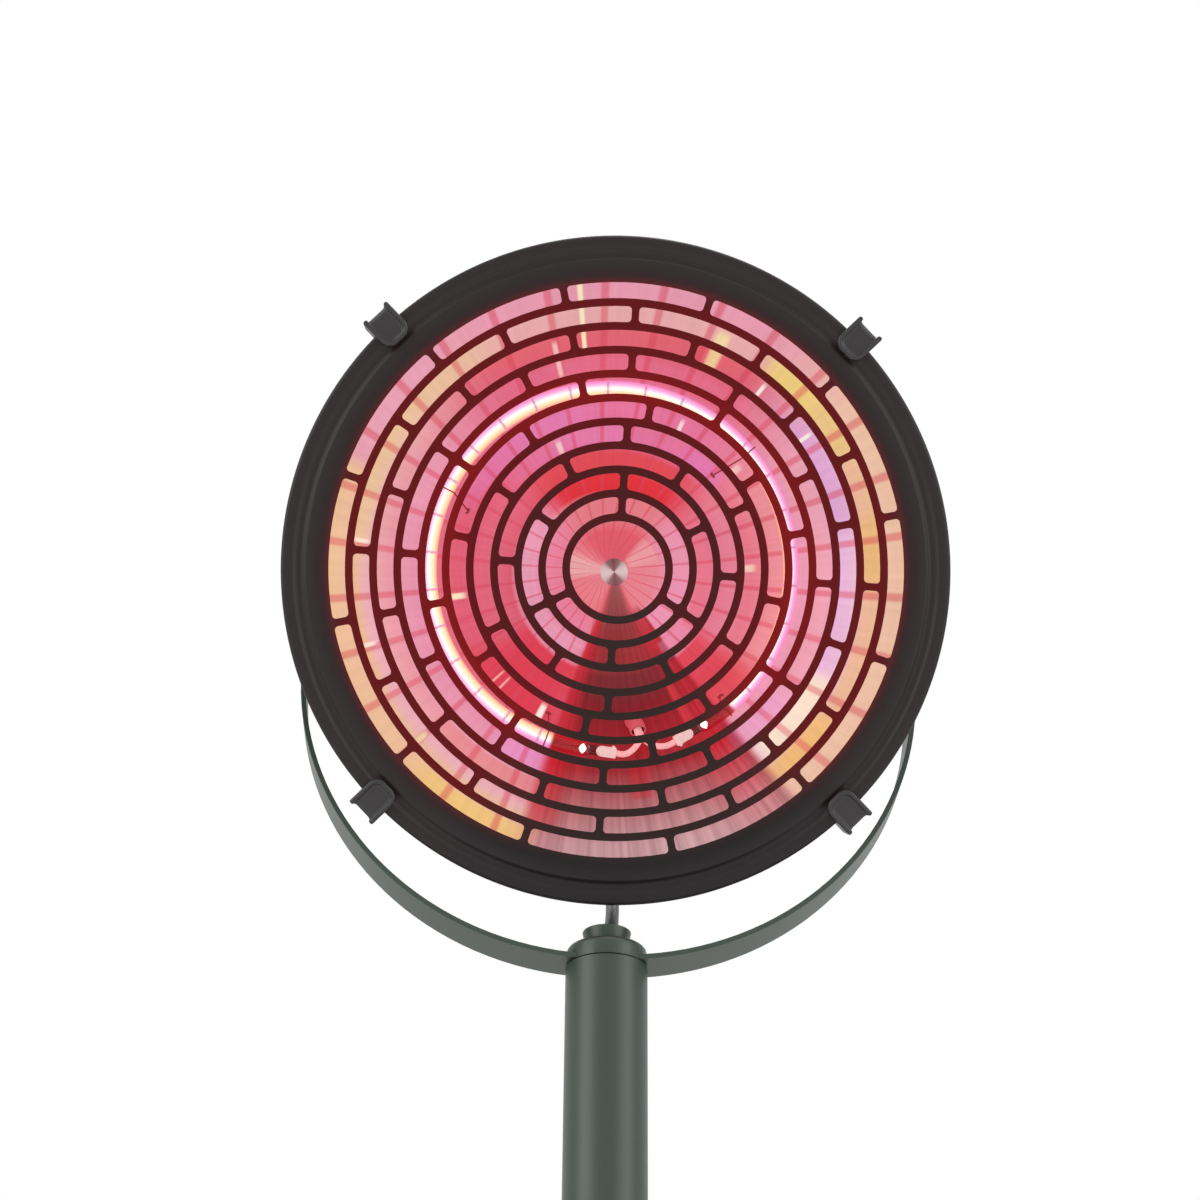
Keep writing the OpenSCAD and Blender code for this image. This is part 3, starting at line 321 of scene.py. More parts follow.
@dataclass(frozen=True)
class LitPowderCoat(PowderCoat):
    """Powder coat on the grille, with the red light that the lamp throws over the webs by it painted on as a
    glow, and painted shade on the webs. Sizes in mm.
    """

    rim: float = 200.0
    webs: float = 165.0
    plate: float = 186.0
    shaded_web_colour: str = "#0B0909"
    web_gloss: float = 0.08
    shade_turn: float = 172.0

    def build(self) -> bpy.types.Material:
        """Builds the coat with its red veil.

        Returns:
            The material.
        """
        shader = Shader(self.name)
        inputs = self.surface(shader)
        face = shader.flat(shader.head_place())
        radius = shader.length(face)
        share = shader.math("DIVIDE", radius, self.rim * MM)
        # Painted light: the lamp's red light on the webs, fading towards the rim, with a faint warm glow
        # painted on the rim as well.
        painted_lamp_light = shader.ramp(share, [
            (0.15, "#480F12"), (0.3, "#470F10"), (0.44, "#5B0409"), (0.515, "#7D0509"), (0.585, "#720409"),
            (0.66, "#5D0609"), (0.8, "#600509"), (0.863, "#4A1012"), (0.876, "#2A0C0E"), (0.895, "#160A0A"),
            (0.92, "#140A07"), (1.0, "#140A07"),
        ])
        # Painted shade: no light falls on the webs beside the lamp's gap, so they only get a faint dark glow.
        stops = [(0.15, "#2E1F1D"), (0.85, "#2C1D1B"), (0.875, "#140C0B"), (0.89, "#000000")]
        low = shader.ramp(share, stops)
        inputs["Emission Color"] = shader.mix(shader.sector(face, self.shade_turn, 30, 14), painted_lamp_light, low)
        inputs["Emission Strength"] = 1.0
        # Painted shade: the webs get a darker base colour and less gloss than the rim, so that the painted
        # red light drowns the coat's own grey there, which only the rim shows.
        bare = shader.step(radius, self.webs * MM, self.plate * MM)
        inputs["Base Color"] = shader.mix(bare, linear(self.shaded_web_colour), linear(self.colour))
        gain = self.gloss - self.web_gloss
        inputs["Specular IOR Level"] = shader.math("MULTIPLY_ADD", bare, gain, self.web_gloss)
        return shader.finish(inputs)


@dataclass(frozen=True)
class LightPatch:
    """A patch of painted light of one colour on the reflector, between two angles and two radii. Degrees
    clockwise, and mm.
    """

    turn: float
    half: float
    near: float
    far: float
    colour: str
    share: float = 0.8
    soft: float = 5.0


@dataclass(frozen=True)
class SpunAluminium(Finish):
    """Spun aluminium in a ruby lamp's light, painted on as a pink base colour and a glow: pink to red, with
    lilac and gold rings. In mm and degrees.
    """

    glow: float = 0.6
    ray_turn: float = 201.8
    ray_centre: tuple[float, float] = (-5.5, 0.8)
    ray_colour: str = "#D8465C"
    ray_share: float = 0.55
    reach: float = 176.0
    gap_turn: float = 169.0
    gap_half: float = 29.0
    edge: float = 1.6
    cone: tuple[float, float] = (22.0, 32.0)
    tip: tuple[float, float] = (8.8, 7.8)
    tip_turn: float = 82.0

    # Painted light: the quartz coat splits the lamp's light into rings, whose colour drifts from gold to
    # lilac round the bowl, and these patches paint it on.
    light_patches: tuple[LightPatch, ...] = (
        LightPatch(134, 10, 66, 108, "#E02A3A", 0.8, 8), LightPatch(217, 18, 62, 104, "#E02A40", 0.8, 10),
        LightPatch(92, 46, 114, 121, "#E29CD8", 0.3, 8), LightPatch(15, 30, 114, 121, "#E08CC0", 0.4, 8),
        LightPatch(132, 8, 122, 136, "#E6A0D4", 0.5), LightPatch(206, 7, 120, 134, "#E894D8", 0.5, 3),
        LightPatch(63, 14, 139, 150, "#DE9CD8", 0.5), LightPatch(127, 12, 138, 150, "#FBEBD2", 0.95, 3),
        LightPatch(212, 14, 136, 147, "#E68484", 0.6), LightPatch(42, 6, 152, 163, "#F2E068", 0.7, 4),
        LightPatch(55, 6, 152, 163, "#EED278", 0.6, 4), LightPatch(84, 7, 153, 163, "#ECC060", 0.55, 4),
        LightPatch(131, 8, 151, 163, "#F0C05C", 0.65, 4), LightPatch(257, 14, 157, 163, "#EEBC84", 0.5),
        LightPatch(300, 26, 151, 163, "#EECE9C", 0.65, 8), LightPatch(210, 12, 164, 176, "#F2CC70", 0.7),
        LightPatch(306, 15, 164, 177, "#EBA4BC", 0.9, 2), LightPatch(133, 9, 52, 64, "#EE9AC0", 0.6, 5),
        LightPatch(322, 26, 95, 106, "#E084C8", 0.4, 8), LightPatch(350, 14, 84, 94, "#E884B8", 0.5),
        LightPatch(38, 7, 82, 94, "#E47CC4", 0.55), LightPatch(57, 14, 10, 29, "#F0A8AC", 0.8, 9),
        LightPatch(279, 15, 8, 29, "#E8B6B2", 0.8, 8), LightPatch(150.5, 1.2, 74, 108, "#E83C40", 0.75, 1.2),
        LightPatch(171, 2.2, 118, 140, "#D81828", 0.45, 1.5), LightPatch(195, 3, 30, 160, "#D82834", 0.5, 2),
    )
    # Painted reflections: where the bowl isn't quite true it mirrors a short piece of the coil as a bright
    # streak, painted here as a patch of light.
    flares: tuple[LightPatch, ...] = (
        LightPatch(350.8, 0.4, 138, 175, "#FFF6C8", 0.9, 0.35), LightPatch(343.5, 0.5, 126, 146, "#FFE8E0", 0.6, 0.4),
        LightPatch(336, 0.9, 82, 90, "#FFE8D8", 0.7, 0.7), LightPatch(23, 0.6, 96, 106, "#FFF2EC", 0.8, 0.4),
        LightPatch(23, 1.2, 138, 160, "#FBF0A8", 0.7, 0.8), LightPatch(37, 0.4, 138, 148, "#FFFAF0", 0.9, 0.3),
        LightPatch(53, 0.4, 138, 148, "#FFFAF0", 0.9, 0.3), LightPatch(85.5, 1.2, 82, 90, "#FFE8C8", 0.7, 0.8),
        LightPatch(48, 1.0, 97, 105, "#FFE0D0", 0.6, 0.8), LightPatch(205.5, 1.0, 92, 102, "#FFFAEC", 0.95, 0.6),
        LightPatch(222.8, 0.3, 91, 101, "#FFC8B8", 0.7, 0.3), LightPatch(226.3, 0.3, 91, 101, "#FFC8B8", 0.7, 0.3),
        LightPatch(260, 0.9, 93, 102, "#FFF4D0", 0.95, 0.6), LightPatch(251.5, 0.4, 152, 160, "#FFF4E4", 0.8, 0.3),
        LightPatch(275, 0.4, 151, 160, "#FFF4E4", 0.8, 0.3), LightPatch(227.5, 0.5, 151, 160, "#FFE8B8", 0.8, 0.4),
    )

    def lit(self, shader: Shader, face: Socket, radius: Socket) -> Socket:
        """Gives the painted light that the lamp throws round the bowl, with its own ramp for the top and for
        each side.

        Args:
            shader: The material being built.
            face: The place on the head's face.
            radius: Its distance from the middle, in metres.

        Returns:
            The colour, without streaks and turning marks.
        """
        share = shader.math("DIVIDE", radius, self.reach * MM)
        top = shader.ramp(share, [
            (0.05, "#DE5F70"), (0.15, "#E4606E"), (0.2, "#E4808A"), (0.285, "#E58088"), (0.305, "#E23038"),
            (0.36, "#E23038"), (0.385, "#E24850"), (0.44, "#E24A54"), (0.475, "#E274A4"), (0.53, "#E2749A"),
            (0.6, "#E878A2"), (0.68, "#E26C84"), (0.745, "#E4708C"), (0.79, "#E46476"), (0.85, "#E66A76"),
            (0.87, "#ECB0B0"), (0.92, "#ECB2B2"), (0.94, "#EBA0B4"), (1.0, "#EBA2B8"),
        ])
        right = shader.ramp(share, [
            (0.05, "#E8848E"), (0.15, "#E88A96"), (0.2, "#EC9AB8"), (0.27, "#EC9AB8"), (0.31, "#E8788E"),
            (0.38, "#E87A92"), (0.44, "#E8859A"), (0.5, "#E87A8C"), (0.58, "#EC9098"), (0.66, "#EC9AA2"),
            (0.7, "#ECA4B2"), (0.77, "#EAA8BA"), (0.79, "#E6B8E0"), (0.85, "#EAC4DC"), (0.875, "#EEBEA0"),
            (0.92, "#EEC298"), (0.945, "#EFC8AE"), (1.0, "#F0C8A6"),
        ])
        left = shader.ramp(share, [
            (0.05, "#E8848E"), (0.15, "#E8808A"), (0.18, "#E8809A"), (0.25, "#E88AA8"), (0.275, "#E89CB8"),
            (0.33, "#E8A0BC"), (0.36, "#E05E74"), (0.42, "#E26A80"), (0.5, "#E4627C"), (0.56, "#E05E74"),
            (0.66, "#E47890"), (0.69, "#E898B4"), (0.75, "#E8A0B4"), (0.785, "#EA9EA8"), (0.83, "#ECACB0"),
            (0.86, "#ECB4C0"), (0.9, "#EDC0A0"), (0.93, "#EFC4A2"), (1.0, "#F0C898"),
        ])
        colour = shader.mix(shader.sector(face, 98, 52, 16), top, right)
        return shader.mix(shader.sector(face, 255, 58, 16), colour, left)

    def unlit(self, shader: Shader, face: Socket, radius: Socket) -> Socket:
        """Gives the painted shade of the sector that faces the lamp's gap: a dull red.

        Args:
            shader: The material being built.
            face: The place on the head's face.
            radius: Its distance from the middle, in metres.

        Returns:
            The colour.
        """
        share = shader.math("DIVIDE", radius, self.reach * MM)
        middle = shader.ramp(share, [
            (0.05, "#A8605E"), (0.2, "#963C3E"), (0.28, "#A43438"), (0.33, "#A03034"), (0.37, "#7A2629"),
            (0.43, "#7A2629"), (0.48, "#86141A"), (0.55, "#A21420"), (0.64, "#B02028"), (0.7, "#A83038"),
            (0.76, "#B4585E"), (0.86, "#C88A8E"), (0.95, "#D8ACB0"), (1.0, "#DAB2B6"),
        ])
        side = shader.ramp(share, [
            (0.05, "#DC5A64"), (0.3, "#D02C38"), (0.37, "#A02026"), (0.45, "#98161C"), (0.56, "#BC1822"),
            (0.7, "#D82834"), (0.78, "#D24650"), (0.86, "#DC6A72"), (0.92, "#DC8A90"), (1.0, "#D89A9E"),
        ])
        return shader.mix(shader.sector(face, self.gap_turn + 3, 17, 9), side, middle)

    def paint(
        self, shader: Shader, face: Socket, radius: Socket, colour: Socket, light_patches: tuple[LightPatch, ...],
        blur: float,
    ) -> Socket:
        """Lays patches of painted light over a colour.

        Args:
            shader: The material being built.
            face: The place on the head's face.
            radius: Its distance from the middle, in metres.
            colour: The colour underneath.
            light_patches: The patches.
            blur: Half the width of their soft edge along the radius, in mm.

        Returns:
            The colour with the patches.
        """
        for light_patch in light_patches:
            inner = shader.step(radius, (light_patch.near - blur) * MM, (light_patch.near + blur) * MM)
            outer = shader.step(radius, (light_patch.far + blur) * MM, (light_patch.far - blur) * MM)
            band = shader.math("MULTIPLY", inner, outer)
            mask = shader.math("MULTIPLY", band, shader.sector(face, light_patch.turn, light_patch.half, light_patch.soft))
            colour = shader.mix(shader.math("MULTIPLY", mask, light_patch.share), colour, linear(light_patch.colour))
        return colour

    def light(self, shader: Shader, face: Socket, marks: Socket, gap: Socket) -> Socket:
        """Gives the bowl's painted light and shade as an uneven brightness.

        Args:
            shader: The material being built.
            face: The place on the head's face.
            marks: The turning marks.
            gap: 1 in the sector that faces the lamp's gap, and 0 elsewhere.

        Returns:
            The brightness, about 1.
        """
        # Painted light: streaks where the bowl's faint radial waves catch the lamp, about 3 mm wide at the
        # lamp.
        waves = shader.noise(shader.unit(face), 36, 3)
        # Painted light: soft brighter and darker patches, and a sheen on the turning marks.
        patch = shader.noise(face, 14, 2)
        light = shader.math("MULTIPLY_ADD", marks, 0.16, shader.math("MULTIPLY_ADD", patch, 0.24, 0.72))
        # They stand out where the lamp's gap leaves the bowl dark, and that sector is darkened as painted
        # shade.
        depth_of_waves = shader.math("MULTIPLY_ADD", gap, 0.9, 0.24)
        light = shader.math("MULTIPLY_ADD", waves, depth_of_waves, light)
        return shader.math("MULTIPLY_ADD", gap, -0.66, light)

    def bare_tip(self, shader: Shader, face: Socket, radius: Socket, glow: Socket) -> Socket:
        """Lays the cone's blunt tip over the bowl: bare metal with a painted bow-tie highlight of its turning
        marks.

        Args:
            shader: The material being built.
            face: The place on the head's face.
            radius: Its distance from the middle, in metres.
            glow: The bowl's colour.

        Returns:
            The colour with the tip.
        """
        tip = shader.step(radius, self.tip[0] * MM, self.tip[1] * MM)
        bow = shader.math("ABSOLUTE", shader.toward(face, self.tip_turn))
        colour = shader.ramp(bow, [(0.0, "#6A4A4C"), (0.55, "#8A6A6A"), (0.8, "#C8B2B0"), (1.0, "#DCCCCA")])
        return shader.mix(tip, glow, colour)

    def build(self) -> bpy.types.Material:
        """Builds the spun metal with the lamp's light on it.

        Returns:
            The material.
        """
        shader = Shader(self.name)
        face = shader.flat(shader.head_place())
        radius = shader.length(face)
        gap = shader.sector(face, self.gap_turn, self.gap_half, self.edge)
        cone_gap = shader.sector(face, self.gap_turn + 5, 18, 8)
        gap = shader.mix(shader.step(radius, self.cone[0] * MM, self.cone[1] * MM), cone_gap, gap)
        colour = shader.mix(gap, self.lit(shader, face, radius), self.unlit(shader, face, radius))
        colour = self.paint(shader, face, radius, colour, self.light_patches, 1.2)

        # Painted light: each of the lamp's filament rings throws a faint red ray, painted on the bowl.
        around = shader.flat(shader.head_place(*self.ray_centre))
        ray = shader.spokes(around, self.ray_turn, RING_PITCH, 0.035, 0.1)
        ray = shader.math("MULTIPLY", ray, shader.math("SUBTRACT", 1.0, gap))
        colour = shader.mix(shader.math("MULTIPLY", ray, self.ray_share), colour, linear(self.ray_colour))
        colour = self.paint(shader, face, radius, colour, self.flares, 2.4)

        # Turning marks are about 0.2 mm apart and are drawn 1.5 mm apart, so that they show.
        rings = add(shader.tree, "ShaderNodeCombineXYZ", {0: radius, 1: shader.depth()})
        marks = shader.noise(rings.outputs[0], 700, 3)
        glow = shader.mix(1.0, colour, self.light(shader, face, marks, gap), "MULTIPLY")
        return shader.finish({
            "Base Color": linear(self.colour),
            "Metallic": 1.0,
            "Roughness": self.roughness,
            "Normal": shader.bump(marks, 0.1, 0.0002),
            "Emission Color": self.bare_tip(shader, face, radius, glow),
            "Emission Strength": self.glow,
        })


@dataclass(frozen=True)
class RubyQuartz(Finish):
    """Ruby-coated quartz round a burning filament: white in the middle, yellow inside and lilac outside."""

    pinch_half: float = 18.6
    tick_colour: str = "#B98AB8"
    cold_colour: str = "#2A0608"
    pinch_colour: str = "#560609"

    def build(self) -> bpy.types.Material:
        """Builds the glowing tube.

        Returns:
            The material.
        """
        shader = Shader(self.name)
        face = shader.flat(shader.head_place(LAMP_X, LAMP_Y))
        across = shader.math("SUBTRACT", shader.length(face), (LAMP_RING - LAMP_BORE) * MM)
        share = shader.math("DIVIDE", across, 2 * LAMP_BORE * MM)
        fringe = shader.ramp(share, [
            (0.0, "#B04A58"), (0.06, "#E8B890"), (0.2, "#FFE8B0"), (0.38, "#FFF8E0"), (0.52, "#FFFAF6"),
            (0.64, "#EFD6F6"), (0.8, "#D9A0DC"), (0.93, "#CF8CC8"), (1.0, "#A84A60"),
        ])
        # Each filament ring shades a narrow lilac tick of the tube.
        tick = shader.spokes(face, FIRST_RING_TURN, RING_PITCH, 0.02, 0.05)
        fringe = shader.mix(shader.math("MULTIPLY", tick, 0.8), fringe, linear(self.tick_colour))
        # The two ends past the coil stay dark red: a painted dark red glow, with painted highlights as
        # streaks about 3 mm wide along the tube.
        along = add(shader.tree, "ShaderNodeCombineXYZ", {0: across, 1: shader.depth()}).outputs[0]
        streak = shader.noise(along, 300, 0)
        ruby = shader.ramp(streak, [(0.3, "#8A0810"), (0.5, "#B0141C"), (0.6, "#D82C34"), (0.7, "#A81018")])
        ends = shader.sector(face, LAMP_GAP, COLD_HALF, 0.8)
        fringe = shader.mix(ends, fringe, ruby)
        # Painted light: the pinched seals get a faint dark red glow.
        pinch = shader.sector(face, LAMP_GAP, self.pinch_half, 0.5)
        fringe = shader.mix(pinch, fringe, linear(self.pinch_colour))
        return shader.finish({
            "Base Color": shader.mix(ends, linear(self.colour), linear(self.cold_colour)),
            "Roughness": 0.08,
            "Emission Color": fringe,
            "Emission Strength": 0.95,
            "Alpha": 0.8,
        })


@dataclass(frozen=True)
class Glowing(Finish):
    """A white-hot part, or a painted glint: its own light hides its surface."""

    strength: float = 3.0

    def build(self) -> bpy.types.Material:
        """Builds the glow.

        Returns:
            The material.
        """
        return Shader(self.name).finish({
            "Base Color": linear(self.colour),
            "Roughness": self.roughness,
            "Emission Color": linear(self.colour),
            "Emission Strength": self.strength,
        })


@dataclass(frozen=True)
class LitCeramic(Finish):
    """Unglazed steatite: chalky and pale, with the pink light of the lamp painted on as an even glow."""

    light: str = "#5A1E22"
    fleck: str = "#D8C6C0"

    def build(self) -> bpy.types.Material:
        """Builds the ceramic.

        Returns:
            The material.
        """
        shader = Shader(self.name)
        # Pressing grain is about 0.3 mm and is drawn at 1 mm.
        grain = shader.noise(shader.place(), 1000)
        tone = shader.ramp(grain, [(0.3, self.colour), (0.7, self.fleck)])
        return shader.finish({
            "Base Color": tone, "Roughness": self.roughness, "Emission Color": linear(self.light),
            "Emission Strength": 1.0, "Normal": shader.bump(grain, 0.1, 0.0002),
        })


@dataclass(frozen=True)
class PlatedSteel(Finish):
    """Plated steel: a grey shine with soft blotches, and an even glow of painted lamp light where one is
    given.
    """

    light: str = "#000000"

    def build(self) -> bpy.types.Material:
        """Builds the plated steel.

        Returns:
            The material.
        """
        shader = Shader(self.name)
        # The plating's blotches are about 6 mm wide.
        blotch = shader.noise(shader.place(), 160)
        rough = shader.math("ADD", shader.math("MULTIPLY", blotch, 0.2), self.roughness - 0.1)
        return shader.finish({
            "Base Color": linear(self.colour), "Metallic": 1.0, "Roughness": rough,
            "Emission Color": linear(self.light), "Emission Strength": 1.0,
        })


@dataclass(frozen=True)
class Moulded(Finish):
    """Moulded rubber or plastic: matte, with a fine spark-eroded grain."""

    grain: float = 1400.0
    depth: float = 0.12

    def build(self) -> bpy.types.Material:
        """Builds the moulded surface.

        Returns:
            The material.
        """
        shader = Shader(self.name)
        # The grain is about 0.2 mm and is drawn at 0.7 mm.
        height = shader.noise(shader.place(), self.grain)
        return shader.finish({
            "Base Color": linear(self.colour), "Roughness": self.roughness, "Specular IOR Level": 0.35,
            "Normal": shader.bump(height, self.depth, 0.0002),
        })


@dataclass(frozen=True)
class Woven(Finish):
    """Woven glass fibre: a fine criss-cross braid with no shine, and an even glow of painted lamp light where
    one is given. The pitch is in mm.
    """

    pitch: float = 1.2
    light: str = "#000000"
    groove: str = "#C89C98"

    def build(self) -> bpy.types.Material:
        """Builds the braid.

        Returns:
            The material.
        """
        shader = Shader(self.name)
        # Real threads are about 0.4 mm apart and are drawn at the wider pitch, so that they show.
        inputs = {"Vector": shader.place(), "Scale": 1 / (self.pitch * MM)}
        weave = add(shader.tree, "ShaderNodeTexVoronoi", inputs)
        tone = shader.ramp(weave.outputs[0], [(0.0, self.colour), (1.0, self.groove)])
        return shader.finish({
            "Base Color": tone, "Roughness": self.roughness, "Emission Color": linear(self.light),
            "Emission Strength": 1.0, "Normal": shader.bump(weave.outputs[0], 0.2, 0.0003),
        })


GREEN_COAT = PowderCoat("dark green powder coat on steel", "#26332A", 0.4, 0.5, 0.02)
BLACK_COAT = PowderCoat("black powder coat on steel", "#252224", 0.4, 0.42, 0.03)
GRILLE_COAT = LitPowderCoat("black powder coat lit by the lamp", "#191618", 0.45, 0.24, 0.03)
# Painted light: the reflector's pink base colour and its glow stand in for the ruby lamp's light.
REFLECTOR_METAL = SpunAluminium("spun aluminium in ruby light", "#5A2A30", 0.4, 0.85)
RUBY_QUARTZ = RubyQuartz("ruby-coated quartz", "#B04048")
HOT_TUNGSTEN = Glowing("white-hot tungsten coil", "#FFF1DC", 0.5, 1.5)
# Painted glints: a bright glow at the lamp's two ends.
END_GLINT = Glowing("painted glint at the filament end", "#FFF6F0", 0.5, 9.0)
TUNGSTEN = PlatedSteel("tungsten wire", "#8A7A70", 0.4)
# Painted light: the spring wire's pinkish base colour and its glow stand in for the lamp's red light.
SPRING_WIRE = PlatedSteel("stainless spring wire in ruby light", "#8A4A4C", 0.4, "#5A1418")
# Painted light: both ceramics glow with the lamp's red light.
STEATITE = LitCeramic("unglazed steatite", "#F0DCD6", 0.7, "#925C5E", "#E4CCC6")
GLAZED_SLEEVE = LitCeramic("glazed ceramic sleeve", "#A8585E", 0.45, "#A4343E", "#9A4E54")
# Painted shade: the dark red inside the sleeve's bore.
BORE_SHADE = Moulded("painted shade inside the sleeve", "#2A0A0C", 0.9)
# Painted light: the braid glows with the lamp's red light.
BRAID = Woven("braided glass sleeve", "#F0C8C4", 0.85, light="#B86A6E")
FIBRE = Woven("woven glass gasket", "#8C877E", 0.9, 2.0)
ZINC = PlatedSteel("zinc-plated steel", "#B4B6B9", 0.38)
RUBBER = Moulded("black neoprene", "#1C1C1D", 0.62)
LEAD_SHEATH = Moulded("rubber-sheathed lead", "#303031", 0.42, 900, 0.05)
PHENOLIC = Moulded("black phenolic", "#1B1B1C", 0.45)
NYLON = Moulded("natural nylon", "#C9C4B6", 0.5)
CORE = Moulded("brown core insulation", "#8A5430", 0.5)


def full_turn(steps: int) -> list[float]:
    """Gives the angles of a full turn in equal steps."""
    return [2 * math.pi * k / steps for k in range(steps)]


class Draft:
    """A mesh being drawn, in mm in a sub-assembly's own frame."""

    def __init__(self) -> None:
        """Starts with nothing drawn."""
        self.mesh = bmesh.new()

    def loop(self, points: list[Point]) -> list[bmesh.types.BMVert]:
        """Adds a row of points."""
        return [self.mesh.verts.new([v * MM for v in p]) for p in points]

    def bridge(self, one: list, other: list) -> None:
        """Joins two closed rows of as many points with faces.

        Args:
            one: The first row.
            other: The second row.
        """
        for a, b, c, d in zip(one, [*one[1:], one[0]], [*other[1:], other[0]], other):
            self.mesh.faces.new((a, b, c, d))

    def skin(self, rows: list) -> None:
        """Joins rows one after the other."""
        for one, other in zip(rows, rows[1:]):
            self.bridge(one, other)

    def body(self, rows: list) -> None:
        """Joins rows one after the other and closes both ends.

        Args:
            rows: The rows of points, from one end to the other.
        """
        self.skin(rows)
        self.cap(rows[0][::-1])
        self.cap(rows[-1])

    def cap(self, row: list) -> None:
        """Closes a row with one face."""
        self.mesh.faces.new(row)

    def revolve(self, profile: Profile, segments: int) -> None:
        """Turns a closed profile of (radius, height) round z.

        Args:
            profile: Points of the profile in order.
            segments: Steps round the axis.
        """
        rows = []
        for r, z in profile:
            if r < 1e-6:
                rows.append(self.loop([(0, 0, z)]))
            else:
                rows.append(self.loop([(r * math.cos(a), r * math.sin(a), z) for a in full_turn(segments)]))
        for one, other in zip(rows, [*rows[1:], rows[0]]):
            if len(one) == 1 and len(other) == 1:
                continue
            if len(one) == 1 or len(other) == 1:
                pole, ring = (one[0], other) if len(one) == 1 else (other[0], one)
                for a, b in zip(ring, [*ring[1:], ring[0]]):
                    self.mesh.faces.new((pole, a, b))
            else:
                self.bridge(one, other)

    def round(self, centre: Vector, side: Vector, up: Vector, radius: float, sides: int) -> list:
        """Adds a round row of points about a centre, in the plane of two directions."""
        turn = full_turn(sides)
        return self.loop([centre + radius * (math.cos(a) * side + math.sin(a) * up) for a in turn])

    def tube(self, path: list[Vector], radius: float, sides: int) -> None:
        """Sweeps a round tube with closed ends.

        Args:
            path: The points of its middle line.
            radius: Its radius.
            sides: Flats round it.
        """
        side = Vector((1, 0, 0))
        rows = []
        for point, ahead in zip(path, headings(path)):
            side = (side - side.dot(ahead) * ahead).normalized()
            rows.append(self.round(point, side, ahead.cross(side), radius, sides))
        self.body(rows)

    def pipe(self, path: list[Vector], outer: float, inner: float, sides: int, lip: float) -> None:
        """Sweeps a hollow tube whose two mouths are rounded over.

        Args:
            path: The points of its middle line.
            outer: Its outer radius.
            inner: Its inner radius.
            sides: Flats round it.
            lip: The radius at the crest of each mouth.
        """
        aims = headings(path)
        last = len(path) - 1
        step = 0.35 * (outer - inner) / 2
        stops = [(0, outer, step), *((i, outer, 0) for i in range(1, last)), (last, outer, -step)]
        stops += [(last, lip, 0), (last, inner, -step)]
        stops += [(i, inner, 0) for i in range(last - 1, 0, -1)] + [(0, inner, step), (0, lip, 0)]
        rows = []
        for i, radius, along in stops:
            side = (Vector((1, 0, 0)) - aims[i].x * aims[i]).normalized()
            rows.append(self.round(path[i] + aims[i] * along, side, aims[i].cross(side), radius, sides))
        self.skin([*rows, rows[0]])

    def prism(self, outline: Profile, low: float, high: float) -> None:
        """Draws a straight prism over an outline in x and y."""
        self.body([self.loop([(x, y, z) for x, y in outline]) for z in (low, high)])

    def copy_node(self, node: str, merge: float = 2e-6, flat: float = 0.6) -> None:
        """Adds a CAD node's mesh, in the row frame.

        Args:
            node: The node's name.
            merge: Points closer than this many metres become one.
            flat: Faces that lean less than this many degrees apart become one.
        """
        mesh = self.mesh
        mesh.from_mesh(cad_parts[node].data)
        bmesh.ops.remove_doubles(mesh, verts=mesh.verts, dist=merge)
        bmesh.ops.dissolve_limit(mesh, angle_limit=math.radians(flat), verts=mesh.verts, edges=mesh.edges)

    def make(
        self, name: str, finish: Finish, placed: Matrix = Matrix(), smooth: float = 35, turned: bool = True,
    ) -> Piece:
        """Ends the drawing as an object with its place in its mesh.

        Args:
            name: The piece's name.
            finish: Its finish.
            placed: From the drawing's frame to the row frame.
            smooth: Edges sharper than this many degrees stay sharp.
            turned: Whether the faces are turned outwards.

        Returns:
            The object.
        """
        self.mesh.transform(placed)
        if turned:
            bmesh.ops.recalc_face_normals(self.mesh, faces=self.mesh.faces)
        data = bpy.data.meshes.new(name)
        self.mesh.to_mesh(data)
        self.mesh.free()
        return wrap(name, data, finish, smooth)


def wrap(name: str, data: bpy.types.Mesh, finish: Finish | None, smooth: float = 35) -> Piece:
    """Makes an object of a mesh, shaded smooth, and links it to the scene.

    Args:
        name: The object's name.
        data: The mesh.
        finish: Its finish, or none where the mesh has one.
        smooth: Edges sharper than this many degrees stay sharp.

    Returns:
        The object.
    """
    data.name = name
    if finish is not None:
        data.materials.clear()
        data.materials.append(finish.material())
    if len(data.polygons):
        data.shade_smooth()
        data.set_sharp_from_angle(angle=math.radians(smooth))
    piece = bpy.data.objects.new(name, data)
    bpy.context.scene.collection.objects.link(piece)
    return piece


def bevelled(piece: Piece, width: float, segments: int = 2, angle: float = 40) -> Piece:
    """Rounds a piece's edges.

    Args:
        piece: The piece.
        width: The edges' width, in mm.
        segments: Steps across an edge.
        angle: Only edges sharper than this many degrees are rounded.

    Returns:
        The same piece.
    """
    bevel = piece.modifiers.new("edge", "BEVEL")
    bevel.width = width * MM
    bevel.segments = segments
    bevel.limit_method = "ANGLE"
    bevel.angle_limit = math.radians(angle)
    bevel.use_clamp_overlap = True
    bevel.harden_normals = True
    return piece


def settle(piece: Piece, body: Body, slot: str, *nodes: str) -> None:
    """Puts a piece on its body and hides the CAD nodes that it stands for.

    Args:
        piece: The finished piece.
        body: The body that it rides on.
        slot: Not used.
        *nodes: The CAD nodes that it stands for.
    """
    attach(piece, body.value)
    if nodes:
        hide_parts(*nodes)
    log.info("%s: %d faces", piece.name, len(piece.data.polygons))


